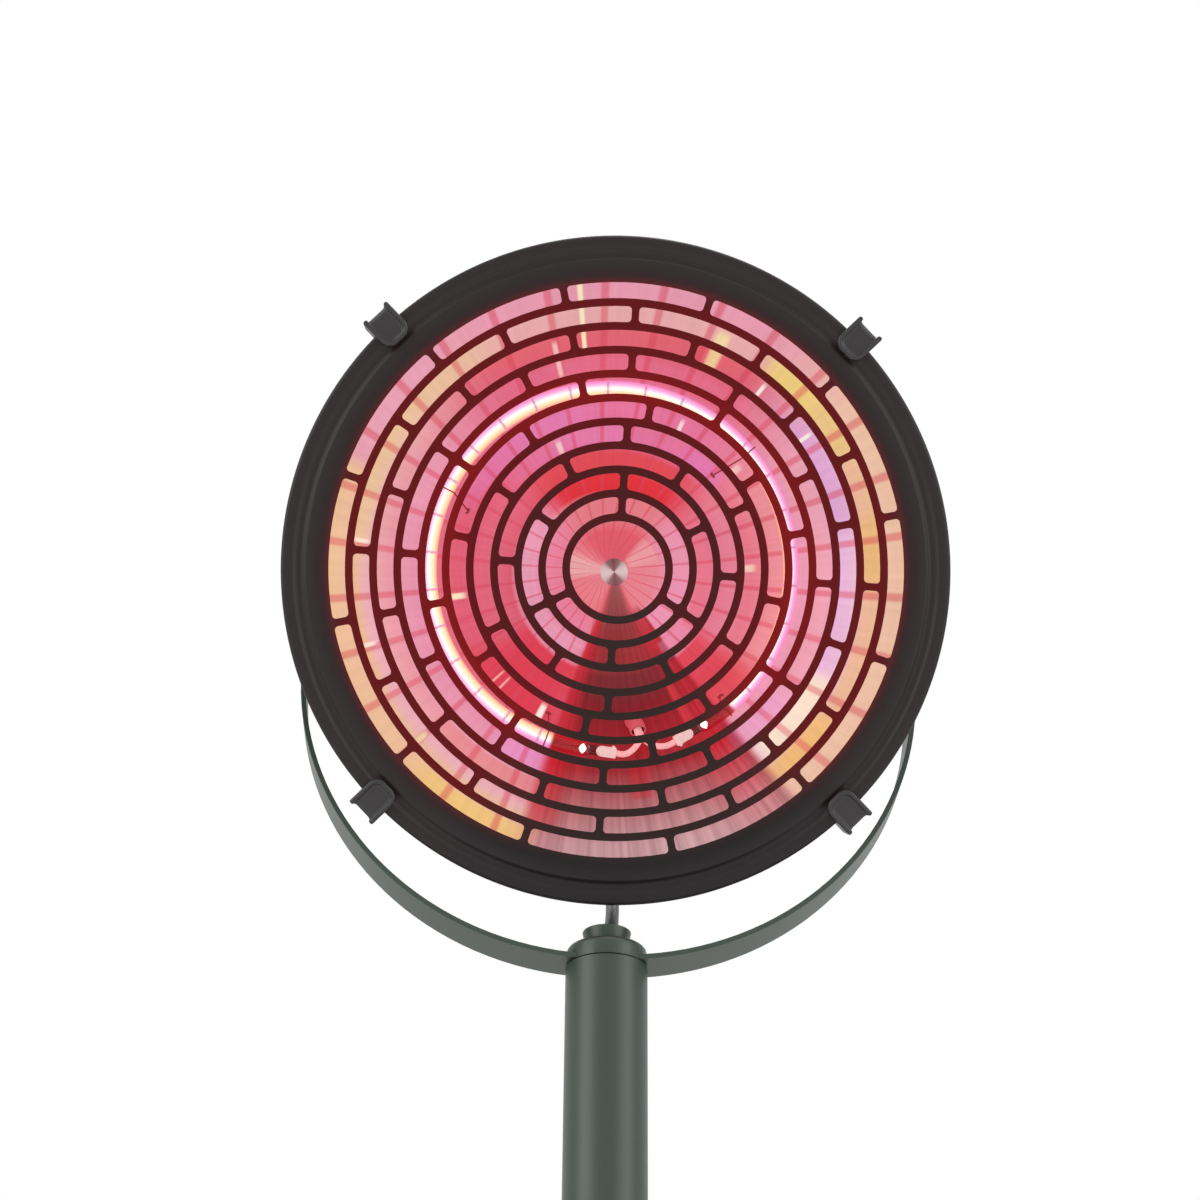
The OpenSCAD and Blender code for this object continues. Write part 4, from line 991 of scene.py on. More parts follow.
def dress(node: str, body: Body, slot: str, finish: Finish, edge: float, segments: int = 2) -> None:
    """Puts a smooth copy with rounded edges in a CAD node's place.

    Args:
        node: The node's name.
        body: The body that it rides on.
        slot: Not used.
        finish: Its finish.
        edge: The width of its rounded edges in mm, or 0 to leave them sharp.
        segments: Steps across an edge.
    """
    draft = Draft()
    draft.copy_node(node)
    piece = draft.make(f"{node}_dressed", finish, turned=False)
    if edge > 0:
        bevelled(piece, edge, segments)
    settle(piece, body, slot, node)


def coat(finish: Finish, *nodes: str) -> None:
    """Gives hidden CAD nodes their finish as they are.

    Args:
        finish: The finish.
        *nodes: The nodes' names.
    """
    for node in nodes:
        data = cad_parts[node].data
        data.materials.clear()
        data.materials.append(finish.material())


class Tree:
    """A Geometry Nodes tree with named inputs."""

    def __init__(self, name: str, **inputs: float | int | bpy.types.Material) -> None:
        """Starts a tree.

        Args:
            name: The tree's name.
            **inputs: Its inputs by name, each with the value that it runs on.
        """
        self.tree = bpy.data.node_groups.new(name, "GeometryNodeTree")
        sockets = {float: "NodeSocketFloat", int: "NodeSocketInt"}
        self.tree.interface.new_socket("Geometry", in_out="INPUT", socket_type="NodeSocketGeometry")
        self.values = {}
        for key, value in inputs.items():
            kind = sockets.get(type(value), "NodeSocketMaterial")
            item = self.tree.interface.new_socket(key, in_out="INPUT", socket_type=kind)
            self.values[item.identifier] = value
        self.tree.interface.new_socket("Geometry", in_out="OUTPUT", socket_type="NodeSocketGeometry")
        self.inputs = self.tree.nodes.new("NodeGroupInput").outputs

    def add(self, kind: str, inputs: dict | None = None, **settings) -> bpy.types.Node:
        """Adds a node to the tree."""
        return add(self.tree, kind, inputs, **settings)

    def math(self, operation: str, *values: Value) -> Socket:
        """Adds a sum of one kind."""
        return self.add("ShaderNodeMath", dict(enumerate(values)), operation=operation).outputs[0]

    def sweep(self, curve: Socket, radius: Socket, sides: int, closed: bool) -> Socket:
        """Sweeps a round wire along a curve.

        Args:
            curve: The wire's middle line.
            radius: Its radius.
            sides: Flats round it.
            closed: Whether its two ends are closed with a face.

        Returns:
            The wire's mesh.
        """
        wire = self.add("GeometryNodeCurvePrimitiveCircle", {"Resolution": sides, "Radius": radius})
        inputs = {"Curve": curve, "Profile Curve": wire.outputs[0], "Fill Caps": closed}
        return self.add("GeometryNodeCurveToMesh", inputs).outputs[0]

    def scatter(self, shape: Socket) -> Socket:
        """Sets a shape on every point of the base mesh, with its z turned to the point's aim.

        Args:
            shape: The shape.

        Returns:
            The instances.
        """
        aim = self.add("GeometryNodeInputNamedAttribute", {"Name": "aim"}, data_type="FLOAT_VECTOR")
        turn = self.add("FunctionNodeAlignRotationToVector", {"Vector": aim.outputs[0]}, axis="Z").outputs[0]
        inputs = {"Points": self.inputs["Geometry"], "Instance": shape, "Rotation": turn}
        return self.add("GeometryNodeInstanceOnPoints", inputs).outputs[0]

    def run(self, name: str, base: bpy.types.Mesh, result: Socket, smooth: float = 35) -> Piece:
        """Ends the tree, runs it on a base mesh and gives the plain mesh that it makes.

        Args:
            name: The piece's name.
            base: The mesh that the tree starts from.
            result: The tree's last geometry, before its instances are realised.
            smooth: Edges sharper than this many degrees stay sharp.

        Returns:
            The object, without the modifier.
        """
        real = self.add("GeometryNodeRealizeInstances", {0: result})
        inputs = {"Geometry": real.outputs[0], "Material": self.inputs["Material"]}
        self.add("NodeGroupOutput", {0: self.add("GeometryNodeSetMaterial", inputs).outputs[0]})
        holder = bpy.data.objects.new(name + "_base", base)
        bpy.context.scene.collection.objects.link(holder)
        modifier = holder.modifiers.new("nodes", "NODES")
        modifier.node_group = self.tree
        for identifier, value in self.values.items():
            modifier[identifier] = value
        graph = bpy.context.evaluated_depsgraph_get()
        graph.update()
        data = bpy.data.meshes.new_from_object(holder.evaluated_get(graph), depsgraph=graph)
        bpy.data.objects.remove(holder)
        return wrap(name, data, None, smooth)


def points_mesh(name: str, places: list[Vector], aims: list[Vector]) -> bpy.types.Mesh:
    """Makes a mesh of loose points, each with a direction called aim.

    Args:
        name: The mesh's name.
        places: The points in the row frame, in metres.
        aims: Their directions.

    Returns:
        The mesh.
    """
    data = bpy.data.meshes.new(name)
    data.from_pydata([tuple(p) for p in places], [], [])
    aim = data.attributes.new("aim", "FLOAT_VECTOR", "POINT")
    aim.data.foreach_set("vector", [c for a in aims for c in a])
    return data


@dataclass
class ScrewSet:
    """Screw heads with a hex recess, one for each place, on top of shanks of one size. Sizes in mm."""

    name: str
    node: str
    body: Body
    places: list[Vector]
    aims: list[Vector]
    head_r: float
    head_h: float
    shank_r: float
    shank_h: float
    recess: float = 0.5

    def rod(self, tree: Tree, sides: int, radius: Socket, length: Socket, middle: float) -> Socket:
        """Adds an upright prism or cylinder.

        Args:
            tree: The tree to add to.
            sides: Flats round it.
            radius: Its radius.
            length: Its length.
            middle: How high its middle stands, in lengths.

        Returns:
            Its mesh.
        """
        body = tree.add("GeometryNodeMeshCylinder", {"Vertices": sides, "Radius": radius, "Depth": length})
        up = tree.add("ShaderNodeCombineXYZ", {2: tree.math("MULTIPLY", length, middle)})
        inputs = {"Geometry": body.outputs[0], "Translation": up.outputs[0]}
        return tree.add("GeometryNodeTransform", inputs).outputs[0]

    def build(self) -> None:
        """Builds the screws and puts them in their node's place."""
        tree = Tree(self.name, **{
            "Head Radius": self.head_r * MM,
            "Head Height": self.head_h * MM,
            "Shank Radius": self.shank_r * MM,
            "Shank Length": self.shank_h * MM,
            "Recess": self.recess,
            "Material": ZINC.material(),
        })
        get = tree.inputs
        head = self.rod(tree, 28, get["Head Radius"], get["Head Height"], 0.5)
        socket_r = tree.math("MULTIPLY", get["Head Radius"], get["Recess"])
        socket = self.rod(tree, 6, socket_r, get["Head Height"], 1.05)
        cut = tree.add("GeometryNodeMeshBoolean", {"Mesh 1": head, "Mesh 2": socket}, operation="DIFFERENCE")
        shank = self.rod(tree, 16, get["Shank Radius"], get["Shank Length"], -0.5)
        screw = tree.add("GeometryNodeJoinGeometry")
        for part in (cut.outputs[0], shank):
            tree.tree.links.new(part, screw.inputs[0])
        points = points_mesh(self.name, self.places, self.aims)
        piece = tree.run(self.name, points, tree.scatter(screw.outputs[0]))
        settle(piece, self.body, "plated_steel", self.node)


def head_point(x: float, y: float, z: float) -> Vector:
    """Turns a point in mm in the head's frame into one in metres in the row frame."""
    return HEAD @ Vector((x * MM, y * MM, z * MM))


def head_aim(x: float, y: float, z: float) -> Vector:
    """Turns a direction in the head's frame into one in the row frame."""
    return (HEAD.to_3x3() @ Vector((x, y, z))).normalized()


def clockwise(radius: float, degrees: float) -> tuple[float, float]:
    """Gives x and y at a radius and an angle clockwise from the top of the head's face."""
    a = math.radians(degrees)
    return radius * math.sin(a), radius * math.cos(a)


def smooth_path(points: Sequence[Point], steps: int) -> list[Vector]:
    """Runs a Catmull-Rom curve through points.

    Args:
        points: The points to pass.
        steps: Pieces between two points.

    Returns:
        The points of the curve, with the first and last ones kept.
    """
    p = [Vector(v) for v in points]
    p = [2 * p[0] - p[1], *p, 2 * p[-1] - p[-2]]
    path = []
    for a, b, c, d in zip(p, p[1:], p[2:], p[3:]):
        for k in range(steps):
            t = k / steps
            square = (2 * a - 5 * b + 4 * c - d) * t**2
            cube = (3 * b - a - 3 * c + d) * t**3
            path.append(0.5 * (2 * b + (c - a) * t + square + cube))
    return [*path, p[-2]]


def headings(path: list[Vector]) -> list[Vector]:
    """Gives the direction of a path at each of its points, from the point before to the one after."""
    return [(after - before).normalized() for before, after in zip([path[0], *path], [*path[1:], path[-1]])]


@dataclass
class Studio:
    """The camera, the lamps and the white room. Sizes in metres, the camera's lens and sensor in mm."""

    camera_at: Point = (-0.0667, -1.3147, 1.1270)
    pitch: float = 30.772
    yaw: float = -2.648
    roll: float = 0.55
    lens: float = 72.1
    sensor: float = 36.0
    sky: float = 0.62
    floor_size: float = 60.0
    floor_tone: float = 0.86
    floor_glow: float = 0.22

    def camera(self) -> None:
        """Places the camera where the photograph was taken from."""
        data = bpy.data.cameras.new("camera")
        data.lens = self.lens
        data.sensor_width = self.sensor
        camera = bpy.data.objects.new("camera", data)
        camera.location = self.camera_at
        yaw, pitch, roll = (math.radians(angle) for angle in (self.yaw, 90 + self.pitch, self.roll))
        aim = Matrix.Rotation(yaw, 3, "Z") @ Matrix.Rotation(pitch, 3, "X")
        camera.rotation_euler = (aim @ Matrix.Rotation(roll, 3, "Z")).to_euler()
        bpy.context.scene.collection.objects.link(camera)
        bpy.context.scene.camera = camera

    def lamp(self, name: str, at: Point, aim: Point, size: tuple[float, float], power: float) -> None:
        """Hangs an area lamp that the camera doesn't see.

        Args:
            name: Its name.
            at: Where it hangs.
            aim: The point that it shines at.
            size: Its width and height.
            power: Its power in watts.
        """
        data = bpy.data.lights.new(name, "AREA")
        data.shape = "RECTANGLE"
        data.size, data.size_y = size
        data.energy = power
        lamp = bpy.data.objects.new(name, data)
        lamp.location = at
        lamp.rotation_euler = (Vector(aim) - Vector(at)).to_track_quat("-Z", "Y").to_euler()
        lamp.visible_camera = False
        bpy.context.scene.collection.objects.link(lamp)

    def world(self) -> None:
        """Makes the white world: full where it is seen or mirrored, and softer where it only lights."""
        world = bpy.data.worlds.new("white room")
        world.use_nodes = True
        tree = world.node_tree
        tree.nodes.clear()
        ray = add(tree, "ShaderNodeLightPath").outputs
        seen = {0: ray["Is Camera Ray"], 1: ray["Is Glossy Ray"]}
        seen = add(tree, "ShaderNodeMath", seen, operation="MAXIMUM")
        seen = {0: seen.outputs[0], 1: ray["Is Transmission Ray"]}
        seen = add(tree, "ShaderNodeMath", seen, operation="MAXIMUM")
        level = add(tree, "ShaderNodeMapRange", {"Value": seen.outputs[0], "To Min": self.sky, "To Max": 1.0})
        sky = add(tree, "ShaderNodeBackground", {"Color": (1, 1, 1, 1), "Strength": level.outputs[0]})
        add(tree, "ShaderNodeOutputWorld", {"Surface": sky.outputs[0]})
        bpy.context.scene.world = world

    def floor(self) -> None:
        """Lays the pale floor."""
        half = self.floor_size / 2
        data = bpy.data.meshes.new("floor")
        square = [(-half, -half, 0), (half, -half, 0), (half, half, 0), (-half, half, 0)]
        data.from_pydata(square, [], [(0, 1, 2, 3)])
        floor = bpy.data.objects.new("floor", data)
        data.materials.append(Shader("white studio floor").finish({
            "Base Color": (self.floor_tone, self.floor_tone, self.floor_tone, 1),
            "Roughness": 0.9,
            "Specular IOR Level": 0.0,
            "Emission Color": (1, 1, 1, 1),
            "Emission Strength": self.floor_glow,
        }))
        bpy.context.scene.collection.objects.link(floor)

    def build(self) -> None:
        """Sets up the camera, the room and the lamps."""
        self.camera()
        self.world()
        self.floor()
        self.lamp("left box", (-2.6, -1.6, 2.3), (0, 0, 1.7), (2.0, 3.0), 54)
        self.lamp("right box", (2.6, -1.8, 2.2), (0, 0, 1.7), (2.0, 3.0), 46)
        self.lamp("top", (0.4, -0.9, 4.2), (0, 0, 1.8), (1.5, 1.5), 40)
        self.lamp("back", (0, 1.3, 4.4), (0, 0, 1.4), (2.0, 1.4), 40)
        bpy.context.scene.view_settings.view_transform = "Standard"


@dataclass
class SupplyLead:
    """The lead from the post's funnel to the boot on the terminal box. Sizes in mm from the post's top."""

    radius: float = 4.05
    route: tuple[Point, ...] = (
        (0, 0, 9), (0, 0, 12), (0.6, 0.25, 16), (1.4, 1, 19.5), (2.2, 2.5, 22.7), (2.7, 5, 26.4),
        (3.1, 8.6, 30.4), (3.6, 13.6, 35.2), (4.1, 19.5, 40.6), (4.6, 26.5, 46.8), (5, 34, 53.4),
        (5.3, 42, 61), (5.4, 50, 69.3), (5.2, 58, 78.5), (4.7, 66, 89), (3.9, 73.5, 100.5), (2.9, 80, 113),
        (1.9, 85.3, 126), (1, 89.3, 139), (0.4, 92, 152), (0, 93.3, 165), (0, 92.8, 178), (0, 90.8, 190),
        (0, 86.62, 201.62), (0, 80.85, 212.14),
    )

    def build(self) -> None:
        """Builds the lead as a smooth tube."""
        path = smooth_path(self.route, 4)
        draft = Draft()
        draft.tube(path, self.radius, 20)
        lead = draft.make("supply_lead_tube", LEAD_SHEATH, SEAM)
        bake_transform(lead)
        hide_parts("supply_lead")


@dataclass
class Stand:
    """The base, the post and the swivel at its top. Sizes in mm."""

    base_top: float = 18.0
    post_r: float = 24.0
    screw_circle: float = 46.0
    flange: float = 6.0
    collar_wall: float = 5.3
    collar_screw_z: float = 78.0
    joint_z: float = 838.0
    joint_steps: tuple[float, ...] = (-60, -20, 20, 60)
    plug_mid: float = 1642.5

    def base(self) -> None:
        """Dresses the base plate, its feet and the collar."""
        dress("base_plate", Body.POST, "green_paint", GREEN_COAT, 0.6)
        dress("base_feet", Body.POST, "black_rubber", RUBBER, 0.5)
        dress("post_collar", Body.POST, "green_paint", GREEN_COAT, 0.4)
        dress("lead_gland", Body.POST, "black_rubber", RUBBER, 0.3)

    def tubes(self) -> None:
        """Dresses the post's two tubes and coats what they hold."""
        dress("lower_post", Body.POST, "green_paint", GREEN_COAT, 0.4)
        dress("upper_post", Body.POST, "green_paint", GREEN_COAT, 0.4)
        coat(ZINC, "post_joint", "swivel_plug")
        coat(NYLON, "swivel_washer")
        coat(RUBBER, "post_lead")

    def screws(self) -> None:
        """Fits the screws of the collar and the post."""
        back = Vector((0, 1, 0))
        places, aims = [], []
        for k in range(4):
            x, y = clockwise(self.screw_circle, 45 + 90 * k)
            places.append(Vector((x, y, self.base_top + self.flange)) * MM)
            aims.append(UP)
        places.append(Vector((0, self.post_r + self.collar_wall, self.collar_screw_z)) * MM)
        aims.append(back)
        ScrewSet("collar_screw_set", "collar_screws", Body.POST, places, aims, 5.5, 4, 3, 4.9).build()
        heights = [self.joint_z + step for step in self.joint_steps] + [self.plug_mid]
        places = [Vector((0, self.post_r + 0.1, z)) * MM for z in heights]
        aims = [back] * len(places)
        ScrewSet("post_screw_set", "post_screws", Body.POST, places, aims, 4.6, 2.6, 2.5, 5).build()

    def build(self) -> None:
        """Builds the stand."""
        self.base()
        self.tubes()
        self.screws()


@dataclass
class Swivel:
    """The yoke and what holds it on the post. Sizes in mm from the post's top edge."""

    stem_r: float = 8.0
    stem_low: float = -42.8
    passage_r: float = 5.5
    foot_r: float = 12.2
    cap_top: float = 13.3

    def funnel(self) -> None:
        """Turns the funnel that the lead comes out of."""
        foot = self.cap_top + 0.1
        profile = [
            (self.passage_r, self.stem_low), (self.stem_r, self.stem_low), (self.stem_r, foot),
            # The foot's rolled bead and the neck over it
            (self.foot_r, foot), (self.foot_r, foot + 0.7), (12.75, foot + 0.95), (12.9, foot + 1.5),
            (12.75, foot + 2.0), (12.6, foot + 2.3), (12.8, foot + 2.8), (13.2, 17.7),
            # The mouth's round lip
            (13.75, 19.7), (14.2, 21.7), (14.3, 22.1), (14.2, 22.45), (13.9, 22.65), (13.5, 22.7),
            # The inside, down to the passage
            (12.9, 22.6), (12.3, 22.2), (11.7, 21.5), (10.2, 19.9), (9.0, 18.7), (8.1, 17.5), (7.0, 15.7),
            (6.3, 14.2), (5.75, 12.3), (self.passage_r, 10.3),
        ]
        draft = Draft()
        draft.revolve(profile, 72)
        piece = draft.make("cable_funnel_turned", GREEN_COAT, SEAM, 60)
        settle(piece, Body.YOKE, "green_paint", "cable_funnel")

    def build(self) -> None:
        """Dresses the yoke and the cap, and turns the funnel."""
        dress("yoke", Body.YOKE, "green_paint", GREEN_COAT, 0.45)
        dress("swivel_cap", Body.YOKE, "green_paint", GREEN_COAT, 0.3)
        self.funnel()
        coat(ZINC, "swivel_nut")


@dataclass
class Grille:
    """The pressed front with its ten rings of slots. Sizes in mm in the head's frame."""

    top: float = 110.0
    sheet: float = 1.5
    rim: float = 200.0
    plate: float = 186.0
    groove: float = 5.4
    groove_depth: float = 1.8
    crest: float = 8.6
    skirt: float = 13.0
    hole: float = 28.4
    slot: float = 9.73
    web: float = 4.6
    bridge: float = 4.5
    corner: float = 2.3
    edge: float = 0.3
    turn: float = 2.2
    bridges: tuple[int, ...] = (3, 6, 6, 6, 8, 8, 12, 12, 12, 12)
    turns: tuple[float, ...] = (0, 0, 30, 0, 7.5, 30, 0, 15, 0, 15)
    round_steps: int = 288
    arc_step: float = 3.0

    def slot_outline(self, ring: int, number: int, grow: float) -> Profile:
        """Gives one slot's outline with its round corners.

        Args:
            ring: The ring, counted from the middle.
            number: The slot within the ring.
            grow: How far the outline is pushed outwards.

        Returns:
            Points in x and y, as many for every grow.
        """
        count = self.bridges[ring]
        low = self.hole + self.web + ring * (self.slot + self.web) - grow
        high = low + self.slot + 2 * grow
        half = 180 / count
        middle = self.turn + self.turns[ring] + 360 * number / count + half
        corner = self.corner + grow
        gap = self.bridge / 2 - grow

        def end(radius: float) -> float:
            """Gives the angle from the slot's middle to the bridge's edge at a radius."""
            return half - math.degrees(math.asin(gap / radius))

        def rounded(centre: float, outwards: int, side: int, angle: float) -> tuple[float, float]:
            """Gives a point of a round corner.

            Args:
                centre: The radius of the corner's centre.
                outwards: 1 for a corner at the slot's outer arc and -1 for one at its inner arc.
                side: 1 for the slot's last end and -1 for its first.
                angle: Degrees round the corner, from the arc to the bridge.

            Returns:
                The point's x and y.
            """
            a = math.radians(angle)
            radius = centre + outwards * corner * math.cos(a)
            along = end(radius) - math.degrees(corner * (1 - math.sin(a)) / radius)
            return clockwise(radius, middle + side * along)

        points = []
        span = max(3, round(2 * half / self.arc_step))
        for side, near, far in ((1, high, low), (-1, low, high)):
            reach = end(near) - 1.02 * math.degrees(corner / near)
            stops = [side * (-reach + 2 * reach * k / span) for k in range(span + 1)]
            points += [clockwise(near, middle + along) for along in stops]
            points += [rounded(near - side * corner, side, side, 22.5 * k) for k in range(1, 5)]
            points += [rounded(far + side * corner, -side, side, 90 - 22.5 * k) for k in range(4)]
        return points

    def rim_profile(self) -> Profile:
        """Gives the pressing's outline.

        Returns:
            Points from the plate's edge out, over the crest and back underneath.
        """
        top, low, foot = self.top, self.top - self.groove_depth, self.top - self.skirt
        under = top - self.sheet
        plate, rim, crest = self.plate, self.rim, self.rim - self.crest
        mid = plate + self.groove / 2
        return [
            # Down into the groove
            (plate - 1.4, top), (plate - 0.8, top - 0.1), (plate - 0.2, top - 0.4), (plate + 0.4, top - 0.95),
            (plate + 1.0, low + 0.5), (plate + 1.6, low + 0.12), (mid - 0.4, low),
            # Up to the crest
            (mid + 0.6, low), (crest - 1.0, low + 0.12), (crest - 0.2, low + 0.5), (crest + 0.6, low + 1.0),
            (crest + 1.3, top - 0.3), (crest + 2.0, top - 0.07), (crest + 2.7, top),
            # Round the shoulder and down the skirt
            (rim - 2.4, top), (rim - 1.5, top - 0.15), (rim - 0.7, top - 0.6), (rim - 0.2, top - 1.3),
            (rim, top - 2.2), (rim, foot + 0.4), (rim - 0.3, foot), (rim - self.sheet, foot),
            # Back along the underside
            (rim - self.sheet, top - 2.6), (rim - 2.6, under), (crest + 1.9, under), (crest + 0.7, low - 0.4),
            (mid + 0.8, low - self.sheet), (mid - 0.8, low - self.sheet), (plate - 0.7, low - 0.4),
            (plate - 1.9, under),
        ]

    def fill(self, draft: Draft, loops: list) -> None:
        """Fills a plate between its outer edge and its openings.

        Args:
            draft: The drawing.
            loops: The closed rows of points round the plate and its openings.
        """
        pairs = [pair for loop in loops for pair in zip(loop, [*loop[1:], loop[0]])]
        edges = [draft.mesh.edges.get(pair) for pair in pairs]
        bmesh.ops.triangle_fill(draft.mesh, edges=edges, use_beauty=True, use_dissolve=False)

    def build(self) -> None:
        """Builds the pressing as one closed sheet."""
        draft = Draft()
        # The front edge of every opening is rounded over.
        levels = [(self.edge, self.top), (self.edge * 0.3, self.top - self.edge * 0.3)]
        levels += [(0, self.top - self.edge), (0, self.top - self.sheet)]
        walls = []
        for ring, count in enumerate(self.bridges):
            for number in range(count):
                outlines = [(self.slot_outline(ring, number, grow), z) for grow, z in levels]
                walls.append([draft.loop([(x, y, z) for x, y in outline]) for outline, z in outlines])
        outlines = [([clockwise(self.hole + grow, k * 5) for k in range(72)], z) for grow, z in levels]
        walls.append([draft.loop([(x, y, z) for x, y in outline]) for outline, z in outlines])
        turn = full_turn(self.round_steps)
        profile = self.rim_profile()
        walls.append([draft.loop([(r * math.cos(a), r * math.sin(a), z) for a in turn]) for r, z in profile])
        for rows in walls:
            draft.skin(rows)
        for side in (0, -1):
            self.fill(draft, [rows[side] for rows in walls])
        piece = draft.make("front_grille_pressed", GRILLE_COAT, HEAD, 30)
        settle(piece, Body.HEAD, "black_paint", "front_grille")


@dataclass
class RimClips:
    """The four clips that hold the grille on the housing. Sizes in mm in the head's frame."""

    count: int = 4
    turn: float = 44.6
    screw_r: float = 194.5
    hook: tuple[float, float] = (91.8, 95.5)
    hook_near: float = 189.0
    width: float = 19.5
    inner: float = 187.0
    rim: float = 200.3
    floor: float = 208.5
    ear: float = 209.9
    corner: float = 7.0
    crest: float = 110.0
    tongue: float = 2.2
    tongue_inset: float = 4.6
    lip: float = 3.0
    lip_top: float = 114.2
    fillet: float = 2.4

    def lip_section(self, low: float, wide: bool, share: float) -> Profile:
        """Gives the rolled lip's section, as insets from the outline and heights.

        Args:
            low: The height of its foot.
            wide: Whether its inner side runs out into the tongue.
            share: Its width as a share of the lip's, less than 1 at an ear's round end.

        Returns:
            Points of the closed section.
        """
        top, half = self.lip_top, self.lip / 2
        level = self.crest + self.tongue
        rolled = [(0, low), (0, top - 1.5), (0.15, top - 0.8), (0.55, top - 0.28), (1.2, top), (1.8, top)]
        rolled += [(2.45, top - 0.25), (self.lip, top - 0.8)]
        if wide:
            inner = [(3.15, level + 0.5), (3.7, level + 0.15), (4.8, level), (4.8, low)]
        else:
            inner = [(self.lip, z) for z in (level + 0.5, level + 0.15, level, low)]
        return [(half + (u - half) * share, z) for u, z in rolled + inner]

    def bend(self, inset: float, steps: int) -> list[tuple[float, float, float]]:
        """Gives the two round corners at the clip's inner end.

        Args:
            inset: How far inside the clip's outline they run.
            steps: Steps from side to side.

        Returns:
            Angles in radians, each with its point's x and y.
        """
        half, corner = self.width / 2 - inset, self.corner - inset
        points = []
        for k in range(steps + 1):
            a = math.pi * k / steps
            x = -math.cos(a) * corner + math.copysign(half - corner, -math.cos(a))
            points.append((a, x, self.inner + self.corner - corner * math.sin(a)))
        return points

    def outline(self) -> list[tuple[float, float, float, float]]:
        """Gives the U-shaped outline from ear to ear.

        Returns:
            The x and y of its points, each with the x and y of the way inwards.
        """
        stops = [self.ear, self.ear - 0.12, self.ear - 0.5, self.ear - 1.1]
        stops += [self.floor - 1.78, self.floor - 1.8, self.rim, self.rim - 0.02]
        left = [(-self.width / 2, y, 1.0, 0.0) for y in stops]
        bend = [(x, y, math.cos(a), math.sin(a)) for a, x, y in self.bend(0, 28)]
        return left + bend + [(-x, y, -nx, ny) for x, y, nx, ny in left[::-1]]

    def draw_lip(self, draft: Draft) -> None:
        """Draws the rolled lip along the outline.

        Args:
            draft: The drawing.
        """
        outline = self.outline()
        # The lip's share of its width at the three rows that round off each ear.
        ends = [0.4, 0.7, 0.92]
        shares = ends + [1.0] * (len(outline) - 2 * len(ends)) + ends[::-1]
        rows = []
        for (x, y, nx, ny), share in zip(outline, shares):
            low = self.hook[0] if y >= self.rim else self.crest
            section = self.lip_section(low, y < self.floor - 1.79, share)
            rows.append(draft.loop([(x + nx * u, y + ny * u, z) for u, z in section]))
        draft.body(rows)

    def draw_tongue(self, draft: Draft) -> None:
        """Draws the tongue's floor, inside the lip.

        Args:
            draft: The drawing.
        """
        half, foot = self.width / 2 - self.tongue_inset, self.floor - 3.4
        bend = [(x, y) for _, x, y in self.bend(self.tongue_inset, 21)]
        draft.prism([(-half, foot), *bend, (half, foot)], self.crest + 0.1, self.crest + self.tongue)

    def draw_wall(self, draft: Draft) -> None:
        """Draws the outer wall, rounded over at the top and run up into the ears.

        Args:
            draft: The drawing.
        """
        side = self.width / 2 - self.lip + 0.05
        level, foot = self.crest + self.tongue, self.hook[0] + 0.1
        section = [(-4.6, foot), (-4.6, level - 0.1), (-3.4, level), (-2.5, level - 0.12)]
        section += [(-1.7, level - 0.5), (-1.0, level - 1.1), (-0.45, level - 1.9), (-0.1, level - 2.8)]
        section += [(0, level - 3.6), (0, foot)]
        left = [step - side for step in (0, 0.3, 0.8, 1.5, self.fillet)]
        rows = []
        for x in left + [-x for x in left[::-1]]:
            near = max(0.0, (abs(x) - side + self.fillet) / self.fillet)
            rise = 1.1 * (1 - math.sqrt(1 - near * near))
            rows.append(draft.loop([(x, self.floor + y + rise, z) for y, z in section]))
        draft.body(rows)

    def draw_hook(self, draft: Draft) -> None:
        """Draws the hook behind the housing's flange.

        Args:
            draft: The drawing.
        """
        low, high = self.hook
        rows = []
        for z, inset in ((low + 0.05, 0.45), (low + 0.5, 0.05), (high - 0.4, 0.05), (high, 0.45)):
            x, near, far = self.width / 2 - inset, self.hook_near + inset, self.floor - inset
            rows.append(draft.loop([(-x, near, z), (x, near, z), (x, far, z), (-x, far, z)]))
        draft.body(rows)

    def clips(self) -> None:
        """Draws a clip at the top of the head's face and sets it round the rim with Geometry Nodes."""
        draft = Draft()
        for draw in (self.draw_lip, self.draw_tongue, self.draw_wall, self.draw_hook):
            draw(draft)
        one = draft.make("rim_clip", BLACK_COAT)
        base = one.data
        bpy.data.objects.remove(one)
        tree = Tree("rim clips", **{"Count": self.count, "Material": BLACK_COAT.material()})
        get = tree.inputs
        line = tree.add("GeometryNodeMeshLine", {"Count": get["Count"], "Offset": (0, 0, 0)}, mode="OFFSET")
        step = tree.math("DIVIDE", 2 * math.pi, get["Count"])
        angle = tree.math("MULTIPLY", tree.add("GeometryNodeInputIndex").outputs[0], step)
        turn = tree.add("ShaderNodeCombineXYZ", {2: angle}).outputs[0]
        turn = tree.add("FunctionNodeEulerToRotation", {0: turn}).outputs[0]
        inputs = {"Points": line.outputs[0], "Instance": get["Geometry"], "Rotation": turn}
        placed = tree.add("GeometryNodeInstanceOnPoints", inputs)
        piece = tree.run("rim_clips_rolled", base, placed.outputs[0], 40)
        piece.data.transform(HEAD @ Matrix.Rotation(math.radians(-self.turn), 4, "Z"))
        settle(piece, Body.HEAD, "black_paint", "rim_clips")

    def screws(self) -> None:
        """Fits the clamping screws from behind."""
        places = []
        for k in range(self.count):
            x, y = clockwise(self.screw_r, self.turn + 360 * k / self.count)
            places.append(head_point(x, y, self.hook[0] - 0.3))
        aims = [head_aim(0, 0, -1)] * self.count
        ScrewSet("clip_screw_set", "clip_screws", Body.HEAD, places, aims, 3.8, 3, 2, 4.2).build()

    def build(self) -> None:
        """Builds the clips and fits their screws."""
        self.clips()
        self.screws()


